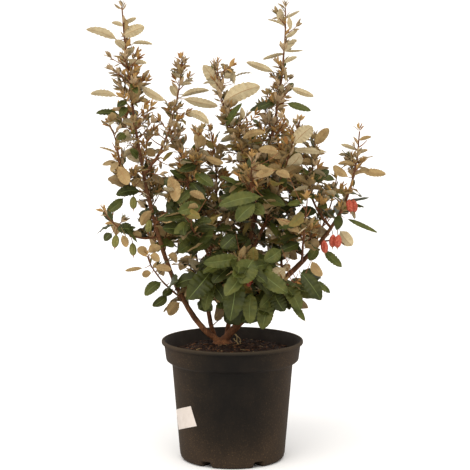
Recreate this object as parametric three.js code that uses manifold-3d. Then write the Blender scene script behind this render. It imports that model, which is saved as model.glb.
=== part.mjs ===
// A broad-leaved evergreen shrub about 0.84 m tall, in a round black nursery pot.
// Millimetres. X is to the right, Y is away from the front, Z is up. The origin is the centre of the
// pot's flat underside.
import * as THREE from "three";
import { mergeVertices } from "three/addons/utils/BufferGeometryUtils.js";
import Module from "manifold-3d";

const wasm = await Module();
wasm.setup();

// The pot
const POT_HEIGHT = 221;
const LIP_RADIUS = 130;
const LIP_HEIGHT = 7;
const COLLAR_TOP_RADIUS = 125.5;
const COLLAR_FOOT_RADIUS = 122;
const COLLAR_DEPTH = 37; // from the rim down to the ledge
const LEDGE_DEPTH = 6;
const BODY_TOP_RADIUS = 111;
const BODY_FOOT_RADIUS = 96;
const CORNER_RADIUS = 8;
const CORNER_STEPS = 3;
const WALL = 2.4;
const POT_FLOOR = 3;
const POT_SIDES = 36;
const NOTCHES = 6; // drainage notches between the feet
const NOTCH_WIDTH = 16;
const NOTCH_HEIGHT = 9;
const NOTCH_LENGTH = 24;

// The soil
const CLEAR = 0.3; // the gap between solids that touch
const SOIL_TOP = 210;
const SOIL_EDGE = 194;
const SOIL_SHOULDER = [90, 204]; // radius, height
const SOIL_FLAT_RADIUS = 62;

// The trunk: a short knotty base that forks at once
const BASE_X = -18;
const BASE_Y = 28;
const BASE_RINGS = [
  // height over the cut, radius
  [0, 18],
  [4, 16],
  [10, 11],
  [17, 5],
];
const BASE_LEAN = 0.15; // backwards, per mm of height
const BASE_SIDES = 8;

// How a limb and a leaf are drawn
const LIMB_SIDES = 8;
const LIMB_STEP = 30;
const STEM_STEP = 38;
const TAPER = 1.15; // power of the fall in radius from foot to tip
const TWIG_RADIUS = 1.3;
const TWIG_TIP_RADIUS = 1.05;
const LEAF_WIDTH = 0.52; // of its length
const LEAF_FOLD = 0.1; // how far the edges lift over the keel, of the width
const LEAF_EDGE = [
  // share of the length, half width as a share of the full width
  [0.34, 0.5],
  [0.72, 0.4],
];
const LEAF_SINK = 0.4; // past the middle of its twig
const NEAR_UPRIGHT = 0.97;
const FRUIT_LENGTH = 24;
const FRUIT_RADIUS = 5.8;
const FRUIT_FACETS = [6, 5]; // round it, and from end to end
const STALK_SEAT = 0.4; // how far over its middle the stalk ends, of its length

// How foliage grows
const GOLDEN_TURN = 2.39996;
const SPACE_SLACK = 24; // how much nearer a point may be to another shoot than to its own
const NAMED_SLACK = 90; // the same for a leaf or fruit that is named below
const SIMPLIFY = 0.02;
const LIMB_ROOM = 1.6; // what a leaf or twig keeps clear of a limb
const MASS_ROOM = 0.7; // what it keeps clear of another mass
const LEAF_TURNS = [0, 0.6, -0.6, 1.2, -1.2]; // tried in this order, in radians
const FIRST_LEAF = 0.1; // share of a shoot that is bare where it has no bough of its own
// What a leaf or side twig has at the foot of the foliage, and at its tip
const LENGTH_ALONG = [1.2, 0.65]; // of the shoot's leaf length
const TWIG_ALONG = [1.1, 0.5]; // of the shoot's twig length
const RISE_ALONG = [34, 54]; // degrees over the level
// How far single ones vary
const LENGTH_SPREAD = 0.4;
const TWIG_SPREAD = 0.5;
const RISE_SPREAD = 24;
const ROLL_SPREAD = 50;
const TWIG_LIFT = 8; // degrees that a side twig rises more than a leaf
const TWIG_LEAVES = [
  // share of the twig, turn round the stem in radians, extra rise in degrees, share of the length
  [0.97, 0, 10, 0.9],
  [0.72, 1, 0, 0.9],
  [0.45, -1.2, -10, 1],
];
const TUFT_LEAVES = 3; // at the very tip of each shoot
const TUFT_LENGTH = 0.62; // of the shoot's leaf length
const TUFT_STEP = 4.5; // between their roots
const TUFT_RISE = 64;
const TUFT_REACH = 0.9; // how far its leaves rise past the stem, of their length
const STEM_SIDES = 3;
const LEADER_SIDES = 4; // of a stem that carries on a bough
const SPINE_STEP = 8;

// Every shoot is one cubic curve: where it starts, how it sets out, how it rises into its tip, the tip.
// from: the shoot it springs from, and the share of that shoot's length. foot: a start in the base.
// bare: the share that is a bough of its own, before the foliage. base: the share that the trunk holds.
// radius: at the foot and at the tip.
const SHOOTS = {
  left: {
    foot: [-23, 30, 211], out: [-132, -11, 75], up: [-8, -12, 131], tip: [-197, -25, 833],
    radius: [6, 1.2], base: 0.06, bare: 0.57, leaf: 42, twig: 46, pitch: 25,
  },
  left_inner: {
    from: ["left", 0.53], out: [53, 13, 56], up: [11, 13, 73], tip: [-89, 45, 735],
    radius: [2.6, 1.1], leaf: 40, twig: 40, pitch: 26,
  },
  left_cross: {
    from: ["left", 0.41], out: [51, -17, 50], up: [-6, -17, 70], tip: [-59, -35, 613],
    radius: [2.4, 1], leaf: 46, twig: 34, pitch: 25,
  },
  left_outer: {
    from: ["left", 0.49], out: [-60, -25, -8], up: [-29, -26, 42], tip: [-222, -70, 628],
    radius: [2.4, 1], leaf: 40, twig: 32, pitch: 27,
  },
  left_spur: {
    from: ["left", 0.38], out: [-42, -25, -12], up: [-14, -25, 40], tip: [-233, -60, 473],
    radius: [2.2, 1], leaf: 44, twig: 22, pitch: 30,
  },
  left_low: {
    from: ["left", 0.2], out: [-31, -23, 26], up: [-7, -23, 41], tip: [-155, -50, 391],
    radius: [2.2, 1], leaf: 54, twig: 22, pitch: 34,
  },
  left_rear: {
    from: ["left", 0.33], out: [-20, 60, 30], up: [-10, 40, 80], tip: [-165, 120, 560],
    radius: [2.6, 1], leaf: 54, twig: 40, pitch: 28,
  },
  right: {
    foot: [-17, 25, 212], out: [132, -31, 166], up: [1, -31, 221], tip: [227, -50, 621],
    radius: [7.6, 1.1], base: 0.12, bare: 0.64, leaf: 40, twig: 34, pitch: 24,
  },
  right_mid: {
    from: ["right", 0.6], out: [-65, 10, 74], up: [-3, 10, 89], tip: [150, 10, 604],
    radius: [2.5, 1], leaf: 50, twig: 34, pitch: 27,
  },
  right_fork: {
    from: ["right", 0.3], out: [-17, 20, 67], up: [0, 20, 68], tip: [119, 60, 525],
    radius: [2.6, 1], leaf: 56, twig: 34, pitch: 31,
  },
  right_hang: {
    from: ["right", 0.52], out: [30, -22, 10], up: [10, -6, -14], tip: [205, -62, 398],
    radius: [2, 1], leaf: 56, twig: 0, pitch: 17, droop: 38,
  },
  right_rear: {
    from: ["right", 0.46], out: [20, 60, 30], up: [8, 26, 60], tip: [196, 96, 520],
    radius: [2.6, 1], leaf: 54, twig: 36, pitch: 31,
  },
  right_front: {
    from: ["right", 0.4], out: [2, -60, 40], up: [6, -22, 60], tip: [132, -132, 505],
    radius: [2.5, 1], leaf: 68, twig: 34, pitch: 28,
  },
  right_low: {
    from: ["right", 0.17], out: [14, -34, 22], up: [40, -18, 16], tip: [124, -92, 346],
    radius: [2.4, 1.1], leaf: 80, twig: 0, pitch: 14, droop: 46,
  },
  middle: {
    from: ["right", 0.082], out: [8, 2, 203], up: [-10, 2, 198], tip: [95, 20, 836],
    radius: [6, 1.1], base: 0.05, bare: 0.42, leaf: 44, twig: 42, pitch: 25,
  },
  middle_right: {
    from: ["middle", 0.2], out: [50, -22, 80], up: [27, -13, 73], tip: [124, -40, 631],
    radius: [2.8, 1], leaf: 58, twig: 36, pitch: 28,
  },
  middle_left: {
    from: ["middle", 0.25], out: [29, -11, 196], up: [7, -9, 149], tip: [-26, -10, 737],
    radius: [3, 1.1], leaf: 48, twig: 36, pitch: 27,
  },
  middle_front: {
    from: ["middle", 0.36], out: [-24, -76, 26], up: [-2, -24, 70], tip: [34, -122, 578],
    radius: [2.6, 1], leaf: 60, twig: 34, pitch: 26,
  },
  front_left: {
    from: ["middle", 0.13], out: [-62, -56, 70], up: [-10, -16, 60], tip: [-84, -112, 478],
    radius: [2.6, 1], leaf: 72, twig: 30, pitch: 26,
  },
  front_low: {
    from: ["middle", 0.15], out: [-14, -58, 40], up: [2, -34, -12], tip: [22, -128, 366],
    radius: [2.6, 1.2], leaf: 84, twig: 0, pitch: 14, droop: 42,
  },
  low_left: {
    from: ["middle", 0.07], out: [-26, -30, 40], up: [-24, -16, 12], tip: [-52, -52, 338],
    radius: [2.4, 1.1], leaf: 80, twig: 0, pitch: 14, droop: 44,
  },
  back: {
    foot: [-31, 40, 211], out: [-45, 6, 115], up: [-43, 8, 160], tip: [-43, 60, 612],
    radius: [5, 1.1], base: 0.07, bare: 0.5, leaf: 54, twig: 38, pitch: 29,
  },
  back_left: {
    from: ["back", 0.42], out: [-24, 40, 40], up: [-8, 22, 70], tip: [-104, 132, 592],
    radius: [2.7, 1], leaf: 54, twig: 36, pitch: 31,
  },
  back_low: {
    from: ["back", 0.2], out: [-20, 40, 30], up: [-14, 40, 30], tip: [-82, 172, 416],
    radius: [2.5, 1], leaf: 76, twig: 0, pitch: 20, droop: 24,
  },
  rear: {
    foot: [-12, 44, 210], out: [16, 40, 90], up: [-8, 18, 130], tip: [24, 158, 606],
    radius: [5, 1.1], base: 0.07, bare: 0.42, leaf: 54, twig: 38, pitch: 28,
  },
  rear_right: {
    from: ["rear", 0.36], out: [44, 26, 50], up: [8, 20, 70], tip: [112, 142, 588],
    radius: [2.7, 1], leaf: 54, twig: 36, pitch: 30,
  },
  rear_low: {
    from: ["rear", 0.2], out: [40, 36, 20], up: [22, 36, 20], tip: [96, 186, 400],
    radius: [2.5, 1], leaf: 76, twig: 0, pitch: 20, droop: 24,
  },
};

// The large leaves that give the crown its outline, by shoot: the share of the shoot's length where each
// stands, how far its tip reaches from there, its width, and its roll. Roll 0 lies flat, 90 shows its
// underside to the front.
const LARGE_LEAVES = {
  left: [
    [0.9, [-20, -6, 6], 9, 30], [0.905, [23, -6, 10], 9, 40], [0.852, [41, -8, 27], 19, 78],
    [0.842, [-71, -10, 29], 19, 34], [0.84, [54, 22, 2], 14, 12], [0.83, [-17, -20, 15], 13, 60],
    [0.78, [34, -15, 5], 12, 60], [0.715, [60, -15, -20], 17, 50], [0.7, [-75, -25, 4], 20, 36],
    [0.65, [-69, -30, 0], 20, 36], [0.607, [-34, -32, -3], 20, 20], [0.66, [-4, 46, 14], 20, 10],
    [0.75, [12, 44, 18], 18, 10],
  ],
  left_inner: [
    [0.8, [-17, -4, 17], 9, 60], [0.74, [26, -6, 6], 10, 40], [0.64, [-15, -8, 24], 12, 70],
    [0.61, [60, 8, 17], 16, 50], [0.6, [73, -10, -12], 19, 60], [0.54, [64, -8, -28], 17, 40],
    [0.45, [20, -24, -8], 18, 60],
  ],
  left_cross: [
    [0.34, [34, -22, -40], 24, 80], [0.62, [-26, -24, -6], 20, 40],
  ],
  left_outer: [
    [0.28, [-16, -6, 40], 22, 84], [0.22, [20, -14, 20], 26, 84], [0.2, [-38, -26, -6], 20, -20],
    [0.62, [-34, 8, 12], 10, 20],
  ],
  left_spur: [
    [0.55, [26, -16, 6], 15, -30], [0.72, [-28, -8, -18], 14, -40], [0.3, [-24, -10, 34], 16, 20],
    [0.84, [-13, -2, 2], 6, 20],
  ],
  left_low: [
    [0.62, [-30, -14, -30], 19, -60], [0.36, [-30, -14, -24], 17, -60], [0.14, [-26, -18, -22], 24, 80],
    [0.66, [-28, -10, -3], 14, 40], [0.79, [-44, -8, -8], 13, 20],
  ],
  right: [
    [0.945, [21, -4, 7], 8, 30], [0.91, [-35, -6, 11], 11, 20], [0.905, [18, 4, 6], 8, 30],
    [0.855, [-35, -10, 4], 15, 24], [0.83, [63, -10, -3], 18, 56], [0.8, [-27, -14, 16], 19, 80],
    [0.64, [60, -16, -24], 17, 16],
  ],
  right_mid: [
    [0.86, [26, -8, 26], 18, 84], [0.7, [-24, -20, 8], 18, 60], [0.55, [-30, -24, -4], 22, 50],
  ],
  right_fork: [
    [0.5, [-40, -20, 6], 22, 40],
  ],
  right_hang: [
    [0.62, [30, -6, -32], 24, 80],
  ],
  right_low: [
    [0.97, [34, -12, -62], 28, -70], [0.75, [4, -24, -72], 28, -74],
    [0.55, [-14, -26, -56], 26, -70], [0.87, [-46, -18, -30], 28, -70], [0.6, [60, -22, 8], 28, -50],
  ],
  middle: [
    [0.94, [25, 4, 12], 9, 30], [0.92, [-11, -12, 27], 20, 84], [0.905, [-31, 6, 14], 9, 14],
    [0.885, [22, -6, 15], 13, 60], [0.84, [33, 4, 0], 9, 10], [0.83, [-37, 4, -10], 12, 10],
    [0.805, [26, -8, 12], 14, 60], [0.785, [9, -14, -26], 14, 80], [0.76, [-62, -10, 24], 19, 40],
    [0.735, [67, -8, -22], 18, 30], [0.69, [-54, -14, -22], 21, -30], [0.665, [66, -14, -18], 21, -30],
    [0.57, [-52, -22, 0], 22, 50], [0.7, [4, 52, 10], 20, 10],
  ],
  middle_right: [
    [0.8, [40, -10, 36], 38, 86], [0.76, [70, 6, 0], 16, 20], [0.6, [-30, -26, 10], 22, 60],
  ],
  middle_left: [
    [0.82, [-24, -8, 48], 28, 86], [0.78, [76, -22, 34], 31, 80],
    [0.77, [17, -16, -30], 14, 70], [0.8, [52, 22, 32], 13, 14], [0.5, [-30, -30, 4], 24, 40],
  ],
  middle_front: [
    [0.6, [-44, -18, -4], 26, 20], [0.45, [46, -20, -6], 26, -20], [0.75, [30, -22, 10], 20, 60],
  ],
  front_left: [
    [0.75, [36, -24, 14], 26, -40], [0.55, [-40, -20, -20], 26, -40],
    [0.4, [30, -30, -34], 26, -60],
  ],
  front_low: [
    [0.97, [-28, -14, -90], 36, -78], [0.93, [26, -20, -66], 32, -76], [0.86, [-70, -16, 8], 32, -56],
    [0.84, [50, -16, 26], 30, -50], [0.74, [-52, -20, -44], 32, -64], [0.6, [44, -30, 4], 30, -50],
    [0.5, [-30, -34, 20], 30, -60],
  ],
  low_left: [
    [0.97, [-40, -14, -50], 36, -66], [0.85, [-6, -18, -62], 32, -76],
    [0.7, [28, -26, -44], 32, -70],
  ],
};

// Fruits that hang from a shoot: the share of its length, and where the middle of the fruit is from there.
const FRUITS = {
  left_outer: [[0.12, [-6, -10, -20]]],
  left_spur: [[0.62, [-4, -8, -24]], [0.42, [6, -10, -25]], [0.15, [2, -12, 24]]],
  right: [[0.72, [13, -10, -14]], [0.7, [22, -4, -20]]],
  right_hang: [[0.2, [-10, -10, -26]], [0.45, [-6, -10, -22]], [0.5, [8, -2, -20]]],
  front_low: [[0.3, [14, -4, -30]]],
};

// Small vector helpers on [x, y, z]
const add = (a, b, share = 1) => a.map((v, i) => v + b[i] * share);
const minus = (a, b) => a.map((v, i) => v - b[i]);
const scale = (a, k) => a.map((v) => v * k);
const dot = (a, b) => a[0] * b[0] + a[1] * b[1] + a[2] * b[2];
const cross = (a, b) => [
  a[1] * b[2] - a[2] * b[1],
  a[2] * b[0] - a[0] * b[2],
  a[0] * b[1] - a[1] * b[0],
];
const size = (a) => Math.hypot(...a);
const unit = (a) => scale(a, 1 / (size(a) || 1));
const turned = (a, axis, angle) =>
  new THREE.Vector3(...a).applyAxisAngle(new THREE.Vector3(...axis), angle).toArray();
const radians = (degrees) => (degrees * Math.PI) / 180;
const between = ([first, last], share) => first + (last - first) * share;
const vary = (spread, chance) => 1 + spread * (chance - 0.5);

// A number from 0 to 1 that depends only on the shoot, the place on it and what it is for
const SEED_WEIGHTS = [12.9898, 78.233, 37.719];
const SEED_SCALE = 43758.5453;
function draw(shoot, place, use) {
  const value = Math.sin(dot([shoot, place, use], SEED_WEIGHTS)) * SEED_SCALE;
  return value - Math.floor(value);
}

// Solids from points and faces, and from a three.js geometry
function solid(points, faces) {
  return new wasm.Manifold(
    new wasm.Mesh({
      numProp: 3,
      vertProperties: new Float32Array(points.flat()),
      triVerts: new Uint32Array(faces.flat()),
    }),
  );
}

function solidOf(geometry) {
  geometry.deleteAttribute("normal");
  geometry.deleteAttribute("uv");
  const merged = mergeVertices(geometry, 1e-3);
  return new wasm.Manifold(
    new wasm.Mesh({
      numProp: 3,
      vertProperties: merged.attributes.position.array,
      triVerts: new Uint32Array(merged.index.array),
    }),
  );
}

function meshOf(name, shape, material) {
  const made = shape.getMesh();
  const geometry = new THREE.BufferGeometry();
  geometry.setAttribute("position", new THREE.BufferAttribute(made.vertProperties, 3));
  geometry.setIndex(new THREE.BufferAttribute(made.triVerts, 1));
  geometry.computeVertexNormals();
  const mesh = new THREE.Mesh(geometry, material);
  mesh.name = name;
  return mesh;
}

// A closed tube through rings of {at, along, radius}
const TUBE_START = [0, 1, 0.2]; // no limb runs this way
function tube(rings, sides) {
  let across = unit(cross(rings[0].along, TUBE_START));
  const points = rings.flatMap(({ at, along, radius }) => {
    across = unit(add(across, along, -dot(across, along)));
    const other = cross(along, across);
    return Array.from({ length: sides }, (_, i) => {
      const angle = (i / sides) * 2 * Math.PI;
      return add(add(at, across, radius * Math.cos(angle)), other, radius * Math.sin(angle));
    });
  });
  const faces = [];
  for (let ring = 0; ring + 1 < rings.length; ring++) {
    for (let i = 0; i < sides; i++) {
      const a = ring * sides + i;
      const b = ring * sides + ((i + 1) % sides);
      faces.push([a, b, b + sides], [a, b + sides, a + sides]);
    }
  }
  const last = (rings.length - 1) * sides;
  for (let i = 1; i + 1 < sides; i++) {
    faces.push([0, i + 1, i], [last, last + i, last + i + 1]);
  }
  return solid(points, faces);
}

// The curve, the length and the radius along each shoot
for (const shoot of Object.values(SHOOTS)) {
  const foot = shoot.foot ?? SHOOTS[shoot.from[0]].curve.getPoint(shoot.from[1]).toArray();
  const bend = [foot, add(foot, shoot.out), add(shoot.tip, shoot.up, -1), shoot.tip];
  shoot.curve = new THREE.CubicBezierCurve3(...bend.map((p) => new THREE.Vector3(...p)));
  shoot.length = shoot.curve.getLength();
}

const pointOn = (shoot, share) => shoot.curve.getPoint(share).toArray();
const alongAt = (shoot, share) => shoot.curve.getTangent(share).toArray();

function radiusAt(shoot, share) {
  const [foot, tip] = shoot.radius;
  return tip + (foot - tip) * (1 - share) ** TAPER;
}

function ringsOf(shoot, start, end, step) {
  const count = Math.max(2, Math.round(((end - start) * shoot.length) / step));
  return Array.from({ length: count + 1 }, (_, i) => {
    const share = between([start, end], i / count);
    const radius = radiusAt(shoot, share);
    return { share, at: pointOn(shoot, share), along: alongAt(shoot, share), radius };
  });
}

function limb(shoot, start, end, extra = 0) {
  const rings = ringsOf(shoot, start, end, LIMB_STEP);
  for (const ring of rings) ring.radius += extra;
  rings[0].at = add(rings[0].at, rings[0].along, -extra);
  rings.at(-1).at = add(rings.at(-1).at, rings.at(-1).along, extra);
  return tube(rings, LIMB_SIDES);
}

// A point on a mass's stem, which runs straight from ring to ring and ends below the tuft
function rootOn(shoot, wanted) {
  const share = Math.min(wanted, shoot.end);
  const last = shoot.rings.findIndex((ring) => ring.share >= share);
  const [a, b] = [shoot.rings[Math.max(0, last - 1)], shoot.rings[Math.max(1, last)]];
  return add(a.at, minus(b.at, a.at), (share - a.share) / (b.share - a.share));
}

// A leaf is a keeled blade of eight faces, from inside its twig to its tip.
function leaf(root, reach, width, roll) {
  const along = unit(reach);
  const flat = unit(cross(along, Math.abs(along[2]) > NEAR_UPRIGHT ? [0, 1, 0] : [0, 0, 1]));
  const side = turned(flat, along, radians(roll));
  const up = cross(side, along);
  const length = size(reach) + LEAF_SINK;
  const keel = add(root, along, -LEAF_SINK);
  const edges = LEAF_EDGE.flatMap(([share, half]) => {
    const middle = add(add(keel, along, length * share), up, width * LEAF_FOLD);
    return [add(middle, side, -width * half), add(middle, side, width * half)];
  });
  const points = [keel, add(keel, along, length), ...edges];
  const faces = [
    [0, 3, 2], [2, 3, 5], [2, 5, 4], [4, 5, 1],
    [0, 5, 3], [0, 1, 5], [0, 4, 1], [0, 2, 4],
  ];
  return { solid: solid(points, faces), points: points.slice(1) };
}

function twig(root, reach) {
  const along = unit(reach);
  const rings = [
    { at: root, along, radius: TWIG_RADIUS },
    { at: add(root, reach), along, radius: TWIG_TIP_RADIUS },
  ];
  return { solid: tube(rings, STEM_SIDES), points: [add(root, reach, 0.5), add(root, reach)] };
}

function fruit(root, middle) {
  const body = new THREE.SphereGeometry(1, ...FRUIT_FACETS);
  body.rotateX(Math.PI / 2);
  body.scale(FRUIT_RADIUS, FRUIT_RADIUS, FRUIT_LENGTH / 2);
  body.translate(...middle);
  const top = add(middle, [0, 0, FRUIT_LENGTH * STALK_SEAT]);
  return {
    solid: solidOf(body).add(twig(root, minus(top, root)).solid),
    points: [
      middle,
      add(middle, [FRUIT_RADIUS, 0, 0]),
      add(middle, [-FRUIT_RADIUS, 0, 0]),
      add(middle, [0, 0, -FRUIT_LENGTH / 2]),
    ],
  };
}

// The pot, from a profile of radius and height
function potProfile() {
  const outer = new THREE.Path();
  const collarFoot = POT_HEIGHT - COLLAR_DEPTH;
  const bodyTop = collarFoot - LEDGE_DEPTH;
  outer.moveTo(0, 0);
  outer.lineTo(BODY_FOOT_RADIUS - CORNER_RADIUS, 0);
  outer.absarc(
    BODY_FOOT_RADIUS - CORNER_RADIUS, CORNER_RADIUS, CORNER_RADIUS, -Math.PI / 2, 0, false,
  );
  outer.lineTo(BODY_TOP_RADIUS, bodyTop);
  outer.lineTo(COLLAR_FOOT_RADIUS, collarFoot);
  outer.lineTo(COLLAR_TOP_RADIUS, POT_HEIGHT - LIP_HEIGHT);
  outer.lineTo(LIP_RADIUS, POT_HEIGHT - LIP_HEIGHT);
  outer.lineTo(LIP_RADIUS, POT_HEIGHT);
  outer.lineTo(COLLAR_TOP_RADIUS - WALL, POT_HEIGHT);
  for (const [radius, height] of innerWall(0)) outer.lineTo(radius, height);
  outer.lineTo(0, POT_FLOOR);
  return outer.getPoints(CORNER_STEPS);
}

// The inside of the pot from the collar down, drawn in by a gap
function innerWall(gap) {
  const collarFoot = POT_HEIGHT - COLLAR_DEPTH;
  const bodyTop = collarFoot - LEDGE_DEPTH;
  const inset = WALL + gap;
  return [
    [COLLAR_FOOT_RADIUS - inset, collarFoot],
    [BODY_TOP_RADIUS - inset, bodyTop],
    [BODY_FOOT_RADIUS - inset, CORNER_RADIUS + gap],
    [BODY_FOOT_RADIUS - CORNER_RADIUS - gap, POT_FLOOR + gap],
  ];
}

function makePot() {
  const body = new THREE.LatheGeometry(potProfile(), POT_SIDES);
  body.rotateX(Math.PI / 2);
  const notches = Array.from({ length: NOTCHES }, (_, i) => {
    const notch = new THREE.BoxGeometry(NOTCH_WIDTH, NOTCH_LENGTH, NOTCH_HEIGHT * 2);
    notch.translate(0, -BODY_FOOT_RADIUS, 0);
    notch.rotateZ(((i + 0.5) / NOTCHES) * 2 * Math.PI);
    return solidOf(notch);
  });
  return solidOf(body).subtract(wasm.Manifold.union(notches));
}

// The soil fills the pot to a low mound. Where it meets the collar, the wall is taken as upright.
function makeSoil() {
  const profile = [
    [0, POT_FLOOR + CLEAR],
    ...innerWall(CLEAR).reverse(),
    [COLLAR_FOOT_RADIUS - WALL - CLEAR, SOIL_EDGE],
    SOIL_SHOULDER,
    [SOIL_FLAT_RADIUS, SOIL_TOP],
    [0, SOIL_TOP],
  ];
  const body = new THREE.LatheGeometry(profile.map((p) => new THREE.Vector2(...p)), POT_SIDES);
  body.rotateX(Math.PI / 2);
  return solidOf(body);
}

// The trunk: the flared base, cut flat at the soil, with the start of every shoot that springs from it
function makeTrunk() {
  const cut = SOIL_TOP + CLEAR;
  const rings = BASE_RINGS.map(([height, radius]) => ({
    at: [BASE_X, BASE_Y + height * BASE_LEAN, cut + height],
    along: [0, 0, 1],
    radius,
  }));
  const starts = Object.values(SHOOTS)
    .filter((shoot) => shoot.base)
    .map((shoot) => limb(shoot, 0, shoot.base));
  return wasm.Manifold.union([tube(rings, BASE_SIDES), ...starts]).trimByPlane([0, 0, 1], cut);
}

// A bough, and the same a little larger, to keep foliage clear of it
function makeBough(shoot, extra = 0) {
  const start = shoot.base + CLEAR / shoot.length;
  return limb(shoot, start, shoot.bare, extra);
}

const largest = (shape) =>
  shape.decompose().reduce((best, body) => (body.volume() > best.volume() ? body : best));

const shootNames = Object.keys(SHOOTS);
const limbs = shootNames.filter((name) => SHOOTS[name].bare);

// Points down the middle of each limb, and of each mass's stem
function spine(shoot, start, end) {
  const count = Math.ceil(((end - start) * shoot.length) / SPINE_STEP);
  return Array.from({ length: count + 1 }, (_, i) => {
    const share = between([start, end], i / count);
    return { at: pointOn(shoot, share), radius: radiusAt(shoot, share) };
  });
}

const limbSpines = limbs.flatMap((name) => spine(SHOOTS[name], 0, SHOOTS[name].bare));
for (const shoot of Object.values(SHOOTS)) {
  shoot.leafy = shoot.bare ?? FIRST_LEAF;
  shoot.end = shoot.droop ? 1 : 1 - (shoot.leaf * TUFT_LENGTH * TUFT_REACH) / shoot.length;
  shoot.spine = spine(shoot, shoot.leafy, shoot.end);
  shoot.rings = ringsOf(shoot, shoot.bare ?? 0, shoot.end, STEM_STEP);
  const stem = tube(shoot.rings, shoot.bare ? LEADER_SIDES : STEM_SIDES);
  shoot.stem = { solid: stem, box: stem.boundingBox() };
}

// The direction at a heading round the stem, in radians, and a rise over the level, in degrees
const wayOf = (heading, rise) => [
  Math.cos(heading) * Math.cos(radians(rise)),
  Math.sin(heading) * Math.cos(radians(rise)),
  Math.sin(radians(rise)),
];

const nearest = (points, at) => Math.min(...points.map((p) => size(minus(p.at, at))));

const clearOfLimbs = (points) =>
  points.every((at) => limbSpines.every((p) => size(minus(p.at, at)) > p.radius + LIMB_ROOM));

// Whether points lie nearer to their own shoot than to any other, but for the slack
function inOwnSpace(shoot, points, slack) {
  return points.every((at) => {
    const own = nearest(shoot.spine, at);
    return shootNames.every(
      (name) => SHOOTS[name] === shoot || nearest(SHOOTS[name].spine, at) > own - slack,
    );
  });
}

function boxesMeet(a, b, room) {
  return [0, 1, 2].every((i) => a.min[i] - room < b.max[i] && b.min[i] - room < a.max[i]);
}

const isClear = (piece, box, others, room) =>
  others.every(
    (other) => !boxesMeet(box, other.box, room) || piece.minGap(other.solid, room * 2) >= room,
  );

// What has grown so far on each shoot: its stem, then every piece that found room. branch: the twig that
// a piece belongs to. Pieces of one twig may meet each other, and all may meet their stem.
const STEM = -1;
const grown = new Map(shootNames.map((name) => [name, [{ ...SHOOTS[name].stem, branch: STEM }]]));

function tryPiece(name, { solid: piece, points }, branch, slack) {
  const box = piece.boundingBox();
  const own = grown.get(name).filter((other) => other.branch !== branch && other.branch !== STEM);
  const others = shootNames.filter((other) => other !== name).flatMap((other) => grown.get(other));
  const fits =
    clearOfLimbs(points) &&
    inOwnSpace(SHOOTS[name], points, slack) &&
    isClear(piece, box, others, MASS_ROOM) &&
    isClear(piece, box, own, CLEAR);
  if (fits) grown.get(name).push({ solid: piece, box, branch });
  return fits;
}

// The fruits and leaves that are named one by one
function addNamed(name) {
  const shoot = SHOOTS[name];
  const fruits = (FRUITS[name] ?? []).map(([share, offset]) => {
    const root = rootOn(shoot, share);
    return fruit(root, add(root, offset));
  });
  const leaves = (LARGE_LEAVES[name] ?? []).map(([share, reach, width, roll]) =>
    leaf(rootOn(shoot, share), reach, width, roll),
  );
  [...fruits, ...leaves].forEach((piece, i) => tryPiece(name, piece, i, NAMED_SLACK));
}

// The leaves and side twigs that the rule puts on a shoot, from its foot to the tuft at its tip
function addFoliage(name, index) {
  const shoot = SHOOTS[name];
  let branch = grown.get(name).length + (LARGE_LEAVES[name] ?? []).length;

  // A leaf at a heading and a rise, turned aside where it finds no room
  function leafAt(root, heading, rise, length, roll, owner) {
    for (const turn of LEAF_TURNS) {
      const reach = scale(wayOf(heading + turn, rise), length);
      if (tryPiece(name, leaf(root, reach, length * LEAF_WIDTH, roll), owner, SPACE_SLACK)) return;
    }
  }

  const places = Math.floor(((shoot.end - shoot.leafy) * shoot.length) / shoot.pitch);
  for (let place = 0; place < places; place++) {
    const rest = (place + 0.5) / places; // 0 at the lowest leaf, 1 at the tip
    const root = rootOn(shoot, between([shoot.leafy, shoot.end], rest));
    const heading = place * GOLDEN_TURN + index;
    const vigour = vary(LENGTH_SPREAD, draw(index, place, 1));
    const length = shoot.leaf * between(LENGTH_ALONG, rest) * vigour;
    const rise = between(RISE_ALONG, rest) - (shoot.droop ?? 0) - RISE_SPREAD * draw(index, place, 2);
    const roll = ROLL_SPREAD * (draw(index, place, 3) - 0.5);
    const owner = branch++;
    if (place % 2 === 0 || !shoot.twig) {
      leafAt(root, heading, rise, length, roll, owner);
      continue;
    }
    const reach = shoot.twig * between(TWIG_ALONG, rest) * vary(TWIG_SPREAD, draw(index, place, 4));
    const side = scale(wayOf(heading, rise + TWIG_LIFT), reach);
    if (!tryPiece(name, twig(root, side), owner, SPACE_SLACK)) continue;
    for (const [along, turn, extra, share] of TWIG_LEAVES) {
      leafAt(add(root, side, along), heading + turn, rise + extra, length * share, roll, owner);
    }
  }
  for (let i = 0; i < TUFT_LEAVES; i++) {
    const root = rootOn(shoot, shoot.end - ((i + 0.5) * TUFT_STEP) / shoot.length);
    const heading = (i / TUFT_LEAVES) * 2 * Math.PI + index;
    leafAt(root, heading, TUFT_RISE - (shoot.droop ?? 0), shoot.leaf * TUFT_LENGTH, 0, branch);
  }
}

function fuse(name, grownLimbs) {
  const fused = wasm.Manifold.union(grown.get(name).map((piece) => piece.solid));
  return largest(largest(fused.subtract(grownLimbs)).simplify(SIMPLIFY));
}

const potMaterial = new THREE.MeshStandardMaterial({ color: 0x24211f, roughness: 0.55, metalness: 0 });
const soilMaterial = new THREE.MeshStandardMaterial({ color: 0x2c1d14, roughness: 1, metalness: 0 });
const barkMaterial = new THREE.MeshStandardMaterial({ color: 0x6b4530, roughness: 0.9, metalness: 0 });
const youngMaterial = new THREE.MeshStandardMaterial({ color: 0x9c7a46, roughness: 0.7, metalness: 0 });
const greenMaterial = new THREE.MeshStandardMaterial({ color: 0x3f5428, roughness: 0.5, metalness: 0 });

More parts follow.
